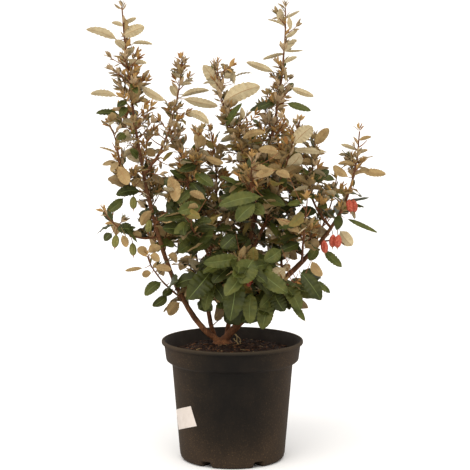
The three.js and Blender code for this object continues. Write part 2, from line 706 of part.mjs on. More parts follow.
const plant = new THREE.Group();
const trunk = makeTrunk();
plant.add(
  meshOf("pot", makePot(), potMaterial),
  meshOf("soil", makeSoil(), soilMaterial),
  meshOf("trunk", trunk, barkMaterial),
);
for (const name of limbs) {
  plant.add(meshOf("bough_" + name, makeBough(SHOOTS[name]), barkMaterial));
}
const grownLimbs = wasm.Manifold.union([
  trunk,
  ...limbs.map((name) => makeBough(SHOOTS[name], CLEAR)),
]);
shootNames.forEach(addNamed);
shootNames.forEach(addFoliage);
for (const name of shootNames) {
  const material = SHOOTS[name].droop ? greenMaterial : youngMaterial;
  plant.add(meshOf("foliage_" + name, fuse(name, grownLimbs), material));
}

export default plant;
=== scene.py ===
"""The looks of a potted broad-leaved evergreen shrub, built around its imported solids.

Lengths are millimetres in the axes of the solids: X to the right, Y away from the front, Z up. They
become metres where a mesh is made. Nothing is random: every choice is drawn from fixed seeds.
"""

import math

import bpy
import numpy as np
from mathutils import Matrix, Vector, noise


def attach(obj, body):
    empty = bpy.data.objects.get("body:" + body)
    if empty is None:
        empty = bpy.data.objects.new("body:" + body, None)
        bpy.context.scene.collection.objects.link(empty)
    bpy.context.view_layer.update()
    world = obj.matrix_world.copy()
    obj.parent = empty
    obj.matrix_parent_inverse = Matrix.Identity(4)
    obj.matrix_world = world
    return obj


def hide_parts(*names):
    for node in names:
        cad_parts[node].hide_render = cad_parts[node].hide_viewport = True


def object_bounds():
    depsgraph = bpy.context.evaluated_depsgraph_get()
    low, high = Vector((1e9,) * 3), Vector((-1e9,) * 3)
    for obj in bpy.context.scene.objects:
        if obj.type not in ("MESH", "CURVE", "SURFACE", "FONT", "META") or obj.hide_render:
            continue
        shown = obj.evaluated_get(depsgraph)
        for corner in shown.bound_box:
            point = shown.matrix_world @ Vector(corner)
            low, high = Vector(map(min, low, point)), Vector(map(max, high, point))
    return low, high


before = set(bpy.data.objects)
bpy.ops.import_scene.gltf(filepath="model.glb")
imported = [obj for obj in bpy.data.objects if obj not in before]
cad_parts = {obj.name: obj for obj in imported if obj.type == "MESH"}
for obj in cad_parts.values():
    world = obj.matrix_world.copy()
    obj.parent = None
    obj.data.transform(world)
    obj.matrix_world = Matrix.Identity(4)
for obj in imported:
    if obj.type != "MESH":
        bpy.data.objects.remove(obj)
cad_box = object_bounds()

METRE = 1000.0
BOX_LOW, BOX_HIGH = (np.array(corner) * METRE for corner in cad_box)
BOX_ROOM = 2
UP = np.array([0.0, 0.0, 1.0])
AWAY = np.array([0.0, 1.0, 0.0])

# The pot and the soil, as in the solids, with the notches a little larger
POT_HEIGHT = 221
LIP_RADIUS = 130
LIP_HEIGHT = 7
COLLAR_TOP_RADIUS = 125.5
COLLAR_FOOT_RADIUS = 122
COLLAR_DEPTH = 37
LEDGE_DEPTH = 6
BODY_TOP_RADIUS = 111
BODY_FOOT_RADIUS = 96
CORNER_RADIUS = 8
WALL = 2.4
POT_FLOOR = 3
NOTCHES = 6
NOTCH_HALF_ANGLE = math.radians(6)
NOTCH_EDGE = math.radians(0.8)
NOTCH_HEIGHT = 12
NOTCH_LENGTH = 34
POT_SEGMENTS = 288
BODY_TOP = POT_HEIGHT - COLLAR_DEPTH - LEDGE_DEPTH
BODY_SLOPE = (BODY_TOP_RADIUS - BODY_FOOT_RADIUS) / BODY_TOP
DARK_MIDDLE_WIDTH = 70  # of the dark middle, free of dust and painted sheen, from its middle
DARK_MIDDLE_FOOT = 130  # it narrows below this height
DARK_MIDDLE_FADE = 85
SOIL_TOP = 210
SOIL_EDGE = 194
SOIL_SHOULDER = (90, 204)
SOIL_FLAT_RADIUS = 62
SOIL_RADIUS = 119
SOIL_UNDERSIDE = 150
SOIL_NECK = 104
SOIL_RINGS = 66
SOIL_SEGMENTS = 190
SOIL_LUMPS = [(3, 0, 13, 2), (2.2, 5, 5, 4), (1.1, 9, 2.2, 6)]  # height, level, length and seed
SOIL_SUNK = 1.2  # below that of the solids
CHIPS = 640
CHIP_KINDS = [0.68, 0.29, 0.03]  # the shares of dark chips, light chips and straw
CHIP_LENGTH = (2.5, 8)
CHIP_SHAPE = (0.4, 0.7)  # its width as a share of its length
CHIP_HEIGHT = (1.2, 3)
STRAW_LENGTH = (10, 20)
STRAW_WIDTH = 1.1
STRAW_HEIGHT = 0.9
BASE_CLEARANCE = 22

# Bits of straw that lean on the foot of the trunk
STRAWS = [((4, 19, 228), (12, 3, 211)), ((8, 16, 227), (17, 5, 211)), ((4, 12, 220), (10, -1, 209))]

# The bare label on the pot: its middle as an angle left of the front and a height, its size and tilt
LABEL_ANGLE = math.radians(61)
LABEL_HEIGHT = 84
LABEL_SIZE = (72, 37)
LABEL_TILT = math.radians(17)
LABEL_PROUD = 0.35
LABEL_THICKNESS = 0.3
LABEL_RIPPLE = 0.12
LABEL_GRID = (28, 18)

# The trunk and the shoots, as in the solids
BASE_X = -18
BASE_Y = 28
BASE_LEAN = 0.15
BASE_RINGS = [(-6, 20), (0, 18.5), (3, 15), (5, 10), (8, 5)]
TAPER = 1.15
DEAD_TWIG_SHARE = 0.06
DEAD_TWIG_REACH = (26, -6, 27)
DEAD_TWIG_RADIUS = 1.3
DEAD_TWIG_SAG = -0.1
FIRST_LEAF = 0.1
TUFT_LENGTH = 0.62
TUFT_REACH = 0.9
GOLDEN_TURN = 2.39996
LEAF_WIDTH = 0.5
LENGTH_ALONG = (1.2, 0.65)
TWIG_ALONG = (1.1, 0.5)
RISE_ALONG = (34, 54)
LENGTH_SPREAD = 0.4
TWIG_SPREAD = 0.5
RISE_SPREAD = 24
ROLL_SPREAD = 50
TWIG_LIFT = 8
TWIG_LEAVES = [(0.97, 0, 10, 0.9), (0.72, 1, 0, 0.9), (0.45, -1.2, -10, 1)]  # place, turn, rise and size
FRUIT_LENGTH = 24
FRUIT_RADIUS = 5.9
FRUIT_LEAN = 2.5
FRUIT_SIDES = 24
FRUIT_RIDGES = 8
RIDGE_HEIGHT = 0.14
FLOWER_RINGS = 3
FRUIT_PROFILE = [  # height as a share of the length, and width as a share of the radius
    (-0.72, 0.03), (-0.6, 0.1), (-0.5, 0.2), (-0.44, 0.5), (-0.32, 0.82), (-0.12, 1.0), (0.1, 0.97),
    (0.28, 0.78), (0.4, 0.48), (0.47, 0.2), (0.49, 0.02)]

# The shoots: where each starts, on the soil or at a share of another, how it sets out and arrives, its
# tip, the radii at foot and tip, the length of leaves and of side twigs, and the pitch between them
SHOOTS = {
    "left": ((-23, 30, 211), (-132, -11, 75), (-8, -12, 131), (-197, -25, 833), (6, 1.2), 42, 46, 25),
    "left_inner": (("left", 0.53), (53, 13, 56), (11, 13, 73), (-89, 45, 735), (2.6, 1.1), 40, 40, 26),
    "left_cross": (("left", 0.41), (51, -17, 50), (-6, -17, 70), (-59, -35, 613), (2.4, 1), 46, 34, 25),
    "left_outer": (("left", 0.49), (-60, -25, -8), (-29, -26, 42), (-222, -70, 628), (2.4, 1), 40, 32, 27),
    "left_spur": (("left", 0.38), (-42, -25, -12), (-14, -25, 40), (-233, -60, 473), (2.2, 1), 44, 22, 30),
    "left_low": (("left", 0.2), (-31, -23, 26), (-7, -23, 41), (-155, -50, 391), (2.2, 1), 54, 22, 34),
    "left_rear": (("left", 0.33), (-20, 60, 30), (-10, 40, 80), (-165, 120, 560), (2.6, 1), 54, 40, 28),
    "right": ((-17, 25, 212), (132, -31, 166), (1, -31, 221), (227, -50, 621), (7.6, 1.1), 40, 34, 24),
    "right_mid": (("right", 0.6), (-65, 10, 74), (-3, 10, 89), (150, 10, 604), (2.5, 1), 50, 34, 27),
    "right_fork": (("right", 0.3), (-17, 20, 67), (0, 20, 68), (119, 60, 525), (2.6, 1), 56, 34, 31),
    "right_hang": (("right", 0.52), (30, -22, 10), (10, -6, -14), (205, -62, 398), (2, 1), 56, 0, 17),
    "right_rear": (("right", 0.46), (20, 60, 30), (8, 26, 60), (196, 96, 520), (2.6, 1), 54, 36, 31),
    "right_front": (("right", 0.4), (2, -60, 40), (6, -22, 60), (132, -132, 505), (2.5, 1), 68, 34, 28),
    "right_low": (("right", 0.17), (14, -34, 22), (40, -18, 16), (124, -92, 346), (2.4, 1.1), 80, 0, 14),
    "middle": (("right", 0.082), (8, 2, 203), (-10, 2, 198), (95, 20, 836), (6, 1.1), 44, 42, 25),
    "middle_right": (("middle", 0.2), (50, -22, 80), (27, -13, 73), (124, -40, 631), (2.8, 1), 58, 36, 28),
    "middle_left": (("middle", 0.25), (29, -11, 196), (7, -9, 149), (-26, -10, 737), (3, 1.1), 48, 36, 27),
    "middle_front": (("middle", 0.36), (-24, -76, 26), (-2, -24, 70), (34, -122, 578), (2.6, 1), 60, 34, 26),
    "front_left": (("middle", 0.13), (-62, -56, 70), (-10, -16, 60), (-84, -112, 478), (2.6, 1), 72, 30, 26),
    "front_low": (("middle", 0.15), (-14, -58, 40), (2, -34, -12), (22, -128, 366), (2.6, 1.2), 84, 0, 14),
    "low_left": (("middle", 0.07), (-26, -30, 40), (-24, -16, 12), (-52, -52, 338), (2.4, 1.1), 80, 0, 14),
    "back": ((-31, 40, 211), (-45, 6, 115), (-43, 8, 160), (-43, 60, 612), (5, 1.1), 54, 38, 29),
    "back_left": (("back", 0.42), (-24, 40, 40), (-8, 22, 70), (-104, 132, 592), (2.7, 1), 54, 36, 31),
    "back_low": (("back", 0.2), (-20, 40, 30), (-14, 40, 30), (-82, 172, 416), (2.5, 1), 76, 0, 20),
    "rear": ((-12, 44, 210), (16, 40, 90), (-8, 18, 130), (24, 158, 606), (5, 1.1), 54, 38, 28),
    "rear_right": (("rear", 0.36), (44, 26, 50), (8, 20, 70), (112, 142, 588), (2.7, 1), 54, 36, 30),
    "rear_low": (("rear", 0.2), (40, 36, 20), (22, 36, 20), (96, 186, 400), (2.5, 1), 76, 0, 20),
}
# The share of each limb that is bare
BARE = {"left": 0.57, "right": 0.64, "middle": 0.42, "back": 0.5, "rear": 0.42}
DROOP = {  # how far the leaves of the low shoots hang, in degrees
    "right_hang": 38, "right_low": 46, "front_low": 42, "low_left": 44, "back_low": 24, "rear_low": 24}

# The large leaves: share of the shoot, reach, width, roll, and where it has one the stalk to its root.
# A positive roll shows the underside to the front, and a negative one the upper side.
LARGE_LEAVES = {
    "left": [
        (0.91, (-20, -6, 7), 9, 60), (0.92, (23, -6, 10), 9, 60),
        (0.88, (39, -8, 17), 21, 74, (-4, -4, -1)), (0.87, (-54, -12, 18), 18, 60, (-17, 0, -1)),
        (0.85, (33, 22, -1), 8, 60, (13, 19, 3)), (0.84, (-17, -20, 15), 13, 60),
        (0.79, (34, -15, 8), 11, 60), (0.74, (41, -14, -24), 16, 84, (20, -2, 1)),
        (0.72, (-43, -18, 6), 14, 60, (-25, -17, -3)), (0.68, (-34, -22, 3), 15, -50, (-28, -20, -5)),
        (0.61, (-34, -32, -3), 18, 20), (0.66, (-4, 46, 14), 20, 10), (0.75, (12, 44, 18), 18, 10),
        (0.71, (-12, -18, -10), 15, -31, (-10, -15, -3)), (0.75, (10, -18, -18), 13, -23, (5, -9, 0)),
        (0.69, (-12, -16, -15), 14, -30, (-8, -15, -1)), (0.63, (-17, -16, -8), 15, -46, (-17, -14, -5)),
        (0.8, (-10, -16, 14), 10, -60), (0.33, (20, -16, -10), 18, 80, (4, -10, 2)),
        (0.45, (-21, -18, -27), 17, 112, (4, -12, -1)), (0.57, (-13, -16, 16), 16, -80, (-4, -10, 0))],
    "left_inner": [
        (0.83, (-15, -4, 12), 9, 60), (0.77, (22, -6, 4), 8, 60), (0.68, (-12, -8, 20), 12, 70),
        (0.68, (48, 10, 12), 12, 70, (8, -1, -1)), (0.67, (59, -12, -12), 18, 76, (13, -7, -1)),
        (0.56, (40, -10, -17), 16, 80, (22, -16, -2)), (0.45, (20, -24, -8), 16, 60)],
    "left_cross": [
        (0.48, (15, -14, -44), 23, 127, (-35, -22, 14)), (0.76, (31, -14, -11), 14, 80, (14, -6, -4)),
        (0.6, (33, -20, -23), 22, -51, (3, -8, -3)), (0.5, (26, -22, -30), 24, -43, (2, -7, -3)),
        (0.45, (-25, -18, -22), 20, -47, (9, -13, -7)), (0.66, (-30, -15, -8), 18, -57, (3, -5, -2))],
    "left_outer": [
        (0.28, (-16, -6, 40), 20, 84), (0.22, (14, -14, 26), 22, 84),
        (0.06, (-44, -16, -4), 21, -58, (0, -16, 2)), (0.2, (-30, -14, -26), 18, -50, (-14, -1, -16)),
        (0.62, (-34, 8, 12), 9, 40), (0.57, (18, -14, -31), 22, 114, (-1, -24, -9))],
    "left_spur": [
        (0.55, (26, -16, 6), 13, -30), (0.67, (-14, -8, -13), 15, -51, (-4, -13, -13)),
        (0.44, (-31, -16, 7), 23, -66, (13, -15, 6)), (0.58, (9, -7, -23), 14, 119, (4, -15, -7)),
        (0.84, (-13, -2, 2), 6, 20), (0.09, (28, -14, -7), 16, 84, (10, -24, 41))],
    "left_low": [
        (0.2, (-18, -14, -11), 16, -50, (0, -4, 6)), (0.43, (-32, -16, -23), 20, -54),
        (0.23, (-27, -16, -20), 18, -51, (-7, -1, -7)), (0.03, (-23, -16, -21), 23, 102, (-1, -7, -6)),
        (0.79, (23, -6, 14), 17, 72, (-4, -11, 20)), (0.79, (-18, -6, 11), 17, 70, (-4, -11, 20)),
        (0.79, (20, -10, -7), 17, 80, (-2, -9, 17)), (0.73, (34, -10, -2), 15, 79, (2, -3, -1)),
        (0.68, (-18, -10, -2), 14, 80, (-2, -7, -5)), (0.77, (-34, -8, -4), 9, 60, (-12, -2, -6))],
    "right": [
        (0.95, (21, -4, 7), 8, 60), (0.92, (-30, -6, 11), 9, 50), (0.91, (18, 4, 6), 8, 60),
        (0.87, (-32, -10, 4), 11, 60), (0.86, (42, -12, -3), 15, 74, (10, -12, -5)),
        (0.83, (-28, -10, 21), 15, 69, (-9, -12, 0)), (0.67, (59, -12, -26), 10, -56, (9, -4, -6)),
        (0.62, (23, -8, -28), 24, 90, (10, -10, -9)), (0.52, (-15, -10, -24), 19, -50, (-6, -30, -4)),
        (0.52, (34, -10, -31), 18, -50, (3, -30, -9))],
    "right_mid": [
        (0.85, (23, -10, 29), 18, 70, (1, -6, 10)), (0.84, (-60, -14, 5), 12, 74, (22, -11, -1)),
        (0.7, (-24, -20, 8), 16, 60), (0.55, (-30, -24, -4), 20, 50)],
    "right_fork": [
        (0.5, (-40, -20, 6), 20, 40), (0.59, (36, -20, 8), 20, -65, (12, -26, 5)),
        (0.49, (32, -22, -10), 22, -53, (9, -20, 4))],
    "right_front": [
        (0.8, (-25, -12, 12), 15, 68, (-28, -4, 58)), (0.66, (44, -8, -24), 16, 84, (-54, 6, 7))],
    "right_low": [
        (0.55, (-9, -18, -57), 29, -26, (-18, -18, -9)), (0.84, (30, -18, -44), 27, -50, (-16, -19, 1)),
        (0.68, (19, -16, -32), 27, -44, (-17, -18, -7)), (0.77, (27, -8, -42), 16, 10, (4, -9, -23)),
        (1.0, (39, -16, -51), 27, -60, (-6, -4, 17)), (1.0, (30, -4, -23), 14, -50, (20, 8, -2)),
        (0.86, (25, -4, -21), 16, -60, (-2, 3, 8)), (0.93, (-31, -12, -20), 25, -66, (-28, -4, 58)),
        (0.85, (-29, -8, -26), 26, 106, (-10, 6, 27)), (1.0, (19, -8, -28), 17, 120, (17, 20, 32)),
        (0.9, (27, -8, -39), 14, -50, (-11, -13, -28))],
    "middle": [
        (0.95, (25, 4, 12), 9, 50), (0.93, (-11, -12, 27), 20, 84), (0.92, (-31, 6, 14), 8, 30),
        (0.89, (22, -6, 15), 9, 60), (0.85, (33, 4, 0), 7, 50), (0.84, (-37, 4, -10), 9, 50),
        (0.81, (24, -8, 12), 9, 60), (0.8, (5, -14, -24), 14, 96),
        (0.78, (-46, -10, 17), 14, 66, (-17, -9, 3)), (0.74, (39, -12, -14), 13, 78, (19, -13, -3)),
        (0.7, (-50, -14, -20), 18, -50), (0.69, (39, -16, -12), 15, -54, (18, -15, -2)),
        (0.59, (-40, -18, -6), 14, 80, (-12, -49, 3)), (0.7, (4, 52, 10), 20, 10)],
    "middle_right": [
        (0.81, (30, -14, 30), 28, 70, (2, -4, -2)), (0.69, (-27, -14, 16), 15, 66, (-9, -5, 1)),
        (0.6, (-30, -26, 10), 18, 60)],
    "middle_left": [
        (0.84, (-29, -8, 46), 24, 72, (1, -4, -1)), (0.78, (62, -20, 30), 30, 74, (3, -6, -3)),
        (0.87, (-22, 6, 34), 24, 56, (26, 4, 3)), (0.88, (38, 10, 14), 9, 30, (22, 11, 3)),
        (0.77, (15, -16, -26), 12, 110), (0.62, (26, -10, 40), 13, -84, (-7, -12, -2)),
        (0.5, (-30, -30, 4), 20, 40)],
    "middle_front": [
        (0.83, (-34, -16, 7), 15, 73, (47, 8, 26)), (0.81, (-35, -13, -8), 16, 82, (43, 1, -1)),
        (0.5, (-35, -22, -3), 24, -58, (-7, -19, -26)), (0.5, (28, -22, -10), 24, -51, (-3, -21, -29)),
        (0.75, (30, -22, 10), 18, 60), (0.64, (-77, -16, -14), 24, -62, (22, -24, -24)),
        (0.62, (-35, -14, -30), 27, -56, (10, -32, -32))],
    "front_left": [
        (0.82, (-28, -12, 15), 14, 68, (30, 0, 40)), (0.82, (-42, -16, -9), 24, -56, (24, -8, 30)),
        (0.75, (36, -24, 14), 24, -40), (0.55, (-40, -20, -20), 26, -40), (0.4, (30, -30, -34), 26, -60),
        (0.55, (-41, -12, -22), 19, -60, (23, -11, 7)), (0.4, (-37, -10, 3), 14, 30, (-19, -3, -19))],
    "front_low": [
        (0.82, (-66, -16, -9), 24, -78, (-5, -4, 18)), (0.91, (-25, -28, -40), 40, -46, (17, -8, 20)),
        (0.89, (-12, -30, -82), 37, -20, (-13, 0, -7)), (0.84, (-3, -22, -57), 26, -12, (14, 10, -43)),
        (0.84, (51, -26, -37), 31, -62, (25, 4, -6)), (0.71, (-4, -8, 30), 18, 190, (23, 2, 2)),
        (0.69, (-26, -14, -23), 26, -60, (-12, -5, 54))],
    "low_left": [
        (1.0, (-46, -34, -52), 39, -58, (19, -14, 25)), (0.84, (-19, -18, -48), 22, -40, (11, -14, 1)),
        (0.76, (-5, -10, -60), 25, -30, (17, -11, 23))],
}

# Side twigs that the photo shows: share of the shoot and reach
SIDE_TWIGS = {
    "left": [
        (0.795, (-29, -8, 14)), (0.76, (-30, -8, 16)), (0.7, (16, -10, 4)), (0.64, (29, -10, 38)),
        (0.61, (26, -10, 34))],
    "left_inner": [
        (0.03, (26, -14, -4)), (0.16, (24, -10, -12)), (0.33, (-15, -8, 14)), (0.5, (26, -8, 10))],
    "left_cross": [(0.65, (-20, -8, 20))],
    "middle_left": [
        (0.57, (22, -10, 28)), (0.53, (34, -10, 40)), (0.4, (-30, -12, 8)), (0.36, (-28, -14, 0)),
        (0.93, (22, -6, 12)), (0.9, (-8, -6, 22))],
    "middle_right": [(0.86, (-24, -8, 30))],
    "middle": [(0.93, (-16, -6, 18)), (0.9, (20, -6, 14))],
}

# The hanging fruits: share of the shoot, and the middle of the fruit from there
FRUITS = {
    "left_outer": [(0.12, (-6, -10, -20))],
    "left_spur": [(0.62, (-4, -8, -24)), (0.42, (6, -10, -25)), (0.15, (2, -12, 24))],
    "right": [
        (0.7, (12, -18, 6)), (0.71, (18, -11, 1)), (0.56, (-5, -52, -14)), (0.6, (1, -44, -18)),
        (0.64, (1, -50, -32))],
    "front_low": [(0.3, (14, -4, -30))],
}
UNRIPE = ("left_outer", "left_spur")

# Openings in the crown, seen from the front: X, Z and radius in the plane of the pot's axis
EYE = np.array([5.0, -3200.0, 825.0])
OPENINGS = [
    (-220, 500, 10), (105, 725, 10), (-115, 665, 9), (105, 635, 9), (-140, 585, 9), (230, 510, 9),
    (-90, 680, 8), (240, 590, 12), (140, 620, 9), (-90, 335, 12), (130, 295, 14), (140, 350, 15),
    (210, 385, 18), (230, 400, 18), (190, 385, 8), (-165, 360, 8), (-130, 470, 12), (135, 460, 14),
    (-75, 590, 9), (-190, 470, 13), (180, 410, 15), (165, 400, 11), (-190, 545, 9), (-215, 655, 8),
    (-180, 430, 10), (-220, 585, 8), (-210, 445, 8), (5, 520, 6), (60, 510, 5), (95, 485, 7), (150, 470, 6),
    (175, 470, 6), (185, 440, 8), (170, 435, 7), (45, 450, 6), (45, 425, 8), (70, 415, 7), (135, 535, 6),
    (195, 520, 6), (195, 485, 6), (50, 385, 9), (125, 395, 8), (-120, 535, 6), (-50, 435, 8), (-20, 430, 7),
    (-70, 440, 7), (-85, 375, 8), (-55, 380, 9)]

# What the solids leave out: young leaves, finer twigs, and how the colours fall
FINE_PITCH = 10  # between young leaves on a stem
YOUNG_LENGTH = (12, 25)
YOUNG_ALONG = (1.1, 0.8)
MID_LENGTH = (24, 42)
WIDTH_SHARES = {"mid_leaves": 0.42, "small_leaves": 0.32}
OLD_PITCH = 10  # between the old leaves that the solids leave out
HANGING_PITCH = 7  # the same on the low shoots that hang
OLD_SHARE_HIGH = 0.36  # of them that stay higher up
OLD_LOSS_HIGH = 0.32  # the share of the old leaves of the solids that is missing higher up
OPENNESS = {  # how much more open some shoots are than the rest
    "left_inner": 0.45, "left_spur": 0.95, "left_low": 0.9, "left_outer": 0.4, "right": 0.3,
    "right_hang": 0.9}
LOW_YOUNG_LOSS = 0.5  # the share of the young leaves that is missing in the green zone
LEAF_SHRINK = 0.95  # real leaves are a little smaller than those of the solids
LEAF_THICKNESS = 0.5
FACING_SHARE = 0.75  # how far low leaves turn to face out of the crown
CROWN_AXIS = (10, 20)  # the large leaves low down face away from it
TUFT_LEAVES = 6
TUFT_SPLAY = (52, 8)  # degrees
FINE_TWIG_PITCH = 8.2
FINE_TWIG_SHARE = 0.9  # of the shoot's twig length
LEAST_TWIG = 26  # their length where the shoot has no side twigs
FINE_SHORTENING = 0.4  # of the finer twigs, at the tip of a shoot
FINE_TWIG = 1.0  # radius
THICK_TWIG = 1.3  # thinner twigs have a rusty skin
STALK_RADIUS = 0.9
NAMED_TWIG_RADIUS = 1.1
TWIG_RADIUS = 1.25  # of the side twigs of the solids
STEM_STEP = 9  # between the points along a stem
STEM_WANDER = 0.9
WANDER_LENGTH = 30
TWIG_SAG = 0.06
TWIG_TAPER = 0.55
TUBE_END = 0.02  # the width left at the ends of a tube
BLADE_START = 0.13  # the share of a named leaf that is its stalk
BLADE_GROWTH = 0.17
PALE_WIDTH = 24  # the named leaves at least this wide have pale undersides

# Side twigs. Pairs are values at the foot and the tip of a twig, or higher up and low down in the crown
SPRAY_PITCH = 5.3
SPRAY_START = 0.22
END_LEAVES = 4
YOUNG_SPLAY = (80, 46)  # degrees
MID_LEAF_END = 0.85
MID_LEAF_LOSS = (0.6, 0.1)
MID_LEAF_SIZE = (0.72, 1.15)
MID_LEAF_LIFT = (0.25, -0.5)
FINER_PLACES = (0.38, 0.62)  # of the smaller twigs that it carries
FINER_LOSS = 0.3
FINER_LENGTH = 0.46
FINER_RADIUS = 0.62
FINER_LEAF = 0.85

# The old leaves that fill the spaces: pairs are values at the foot and tip, or higher up and low down
FILL_END = 0.96
FILL_TURN = 0.8
FILL_LENGTH = (0.95, 0.62)
FILL_RISE = (44, -6)
FILL_RISE_SPREAD = 44
FILL_ROLL = 28
FILL_STAND = (12, 3)  # how far they stand out from the shoot
STALK_LEAST = 4

# The finer twigs and young leaves on a stem
FINE_END = 0.98
FINE_TURN = 1.3
FINE_SPREAD = 14
FORKED_END = 0.7  # beyond it they have no twigs of their own
YOUNG_RISE = (24, 56)
YOUNG_RISE_SPREAD = 16

# The heights at which green leaves give way, leaves grow paler and side twigs end, each over a fade
GREEN_ZONE = 465
GREEN_FADE = 130
PALE_ZONE = 540
PALE_FADE = 120
TIP_ZONE = 675
TIP_FADE = 90

# Shares of the leaves by colour, higher up and low down: of the old ones the dark, those with the green,
# and those with the olive too, and of the young ones the green
DARK_SHARE = (0.14, 0.62)
GREEN_SHARE = (0.36, 0.88)
OLIVE_SHARE = (0.8, 0.96)
PALE_GREEN_SHARE = 0.3  # that the paler tops have besides
YOUNG_GREEN_SHARE = (0.14, 0.7)
RUST_SHARE = (0.66, 0.36)  # of the other young ones, up to the paler tops and in them

# Blades: rows along, half widths, columns across, ribs, the bow, and the margin's waves, ripple and fold
LARGE_ROWS = np.array([0, 0.06, 0.11, 0.18, 0.27, 0.36, 0.45, 0.55, 0.65, 0.75, 0.85, 0.93, 0.98, 1.0])
LARGE_HALF = np.array([0.03, 0.03, 0.1, 0.44, 0.76, 0.93, 1.0, 1.0, 0.96, 0.87, 0.7, 0.46, 0.22, 0.04])
NAMED_ROWS = np.linspace(0, 1, 33)
BLADES = {
    "leaves": dict(
        rows=LARGE_ROWS, half=LARGE_HALF, columns=np.array([-1, -0.52, -0.04, 0.04, 0.52, 1]),
        ribbed=True, bow=(0.03, 0.13), waves=23, ripple=0.15, fold=0.2),
    "big_leaves": dict(
        rows=NAMED_ROWS, half=np.interp(NAMED_ROWS, LARGE_ROWS, LARGE_HALF),
        columns=np.array([-1, -0.72, -0.38, -0.035, 0.035, 0.38, 0.72, 1]),
        ribbed=True, bow=(0.03, 0.13), waves=47, ripple=0.12, fold=0.2),
    "mid_leaves": dict(
        rows=np.array([0, 0.1, 0.22, 0.4, 0.6, 0.8, 0.93, 1.0]),
        half=np.array([0.05, 0.1, 0.6, 0.96, 0.97, 0.68, 0.34, 0.04]),
        columns=np.array([-1, -0.4, 0.4, 1]),
        ribbed=False, bow=(-0.06, 0.06), waves=12, ripple=0.1, fold=0.24),
    "small_leaves": dict(
        rows=np.array([0, 0.14, 0.36, 0.62, 0.84, 1.0]), half=np.array([0.12, 0.46, 0.95, 0.9, 0.5, 0.04]),
        columns=np.array([-1.0, 0, 1]),
        ribbed=False, bow=(-0.06, 0.06), waves=7, ripple=0.06, fold=0.42),
}
MARGIN_WAVE = 0.05
MARGIN_DROOP = 0.18
FOLD_SPREAD = 0.26
BLADE_TWIST = 0.5
BLADE_SWAY = 0.16
RIB_REACH = 0.1
GROOVE_DEPTH = 0.4
FLIPPED = [0, 3, 2, 1]  # a face's corners, turned over
SHARP_ANGLE = math.radians(62)

# The relief of the bark
BARK_VOXEL = 1.1
RIDGE_RELIEF = 0.34
LUMP_RELIEF = 0.5
KNOT_RELIEF = 1.6

# Floor, light and camera: metres, and pixels of the photo
FLOOR_SIZE = 400
SKY_COLOUR = (1, 0.972, 0.935)
SKY_STRENGTH = 1.15
SUN_STRENGTH = 1.9
SUN_ANGLE = math.radians(55)
SUN_COLOUR = (1.0, 0.95, 0.87)
SUN_TO = (0.2, 0.75, -1.0)
CAMERA_PLACE = (0.0048, -3.2, 0.825)
CAMERA_PITCH = math.radians(7.325)
PHOTO_SIDE = 470
FOCAL_PIXELS = 1770
SENSOR = 36


# Small tools


def lin(*screen):
    """A screen colour from 0 to 255 as the linear colour that materials use."""
    return tuple(((c / 255 + 0.055) / 1.055) ** 2.4 if c > 10 else c / 255 / 12.92 for c in screen)


def unit(a):
    return a / (np.linalg.norm(a, axis=-1, keepdims=True) + 1e-12)


def between(ends, share):
    return ends[0] + (ends[1] - ends[0]) * share


def vary(spread, chance):
    return 1 + spread * (chance - 0.5)


def risen(value, start, width):
    """0 up to a start, rising to 1 over the width beyond it."""
    return min(1, max(0, (value - start) / width))


def draw(shoot, place, use):
    """A number from 0 to 1 that depends only on the shoot, the place on it and what it is for."""
    value = math.sin(shoot * 12.9898 + place * 78.233 + use * 37.719) * 43758.5453
    return value - math.floor(value)


def way_of(heading, rise):
    """The direction at a heading round the stem, in radians, and a rise over the level, in degrees."""
    flat = math.cos(math.radians(rise))
    return np.array([math.cos(heading) * flat, math.sin(heading) * flat, math.sin(math.radians(rise))])


def round_stem(along, reference):
    """A function that gives the direction square to a stem at a turn round it."""
    across = unit(np.cross(along, reference))
    other = np.cross(along, across)
    return lambda turn: across * math.cos(turn) + other * math.sin(turn)


def rough(point, size, seed=0.0):
    """Smooth noise from -1 to 1 at a point, for lumps of a size."""
    return noise.noise(Vector(point) / size + Vector((seed, seed * 1.7, -seed)))


class Shoot:
    """A stem as a curve from its foot to its tip, with the measures of what grows on it."""

    def __init__(self, name, start, out, up, tip, radii, leaf, twig, pitch):
        foot = np.array(start, float) if len(start) == 3 else shoots[start[0]].at(start[1])
        tip = np.array(tip, float)
        self.bend = (foot, foot + out, tip - up, tip)
        self.radii, self.leaf, self.twig, self.pitch = radii, leaf, twig, pitch
        self.bare = BARE.get(name, 0)
        self.droop = DROOP.get(name, 0)
        self.openness = OPENNESS.get(name, 0)
        steps = self.line(np.linspace(0, 1, 60))
        self.length = np.linalg.norm(np.diff(steps, axis=0), axis=1).sum()
        self.leafy = self.bare or FIRST_LEAF
        self.end = 1.0 if self.droop else 1 - leaf * TUFT_LENGTH * TUFT_REACH / self.length

    def at(self, t):
        foot, first, second, tip = self.bend
        return (1 - t) ** 3 * foot + 3 * t * (1 - t) ** 2 * first + 3 * t * t * (1 - t) * second + t**3 * tip

    def line(self, shares):
        return np.array([self.at(share) for share in shares])

    def places(self, end, pitch, offset=0.5):
        """Places along the leafy part up to an end: their numbers, how far along they are, and where."""
        count = int((end - self.leafy) * self.length / pitch)
        for place in range(count):
            rest = (place + offset) / count
            yield place, rest, self.at(between((self.leafy, end), rest))

    def radius(self, shares):
        foot, tip = self.radii
        return tip + (foot - tip) * (1 - shares) ** TAPER


shoots = {}
for name, measures in SHOOTS.items():
    shoots[name] = Shoot(name, *measures)


# Meshes from arrays


def full_turn(sides):
    return np.arange(sides) / sides * 2 * math.pi


def ring_at(angles, radius, height):
    """Points round the upright axis."""
    return np.stack(np.broadcast_arrays(np.cos(angles) * radius, np.sin(angles) * radius, height), -1)


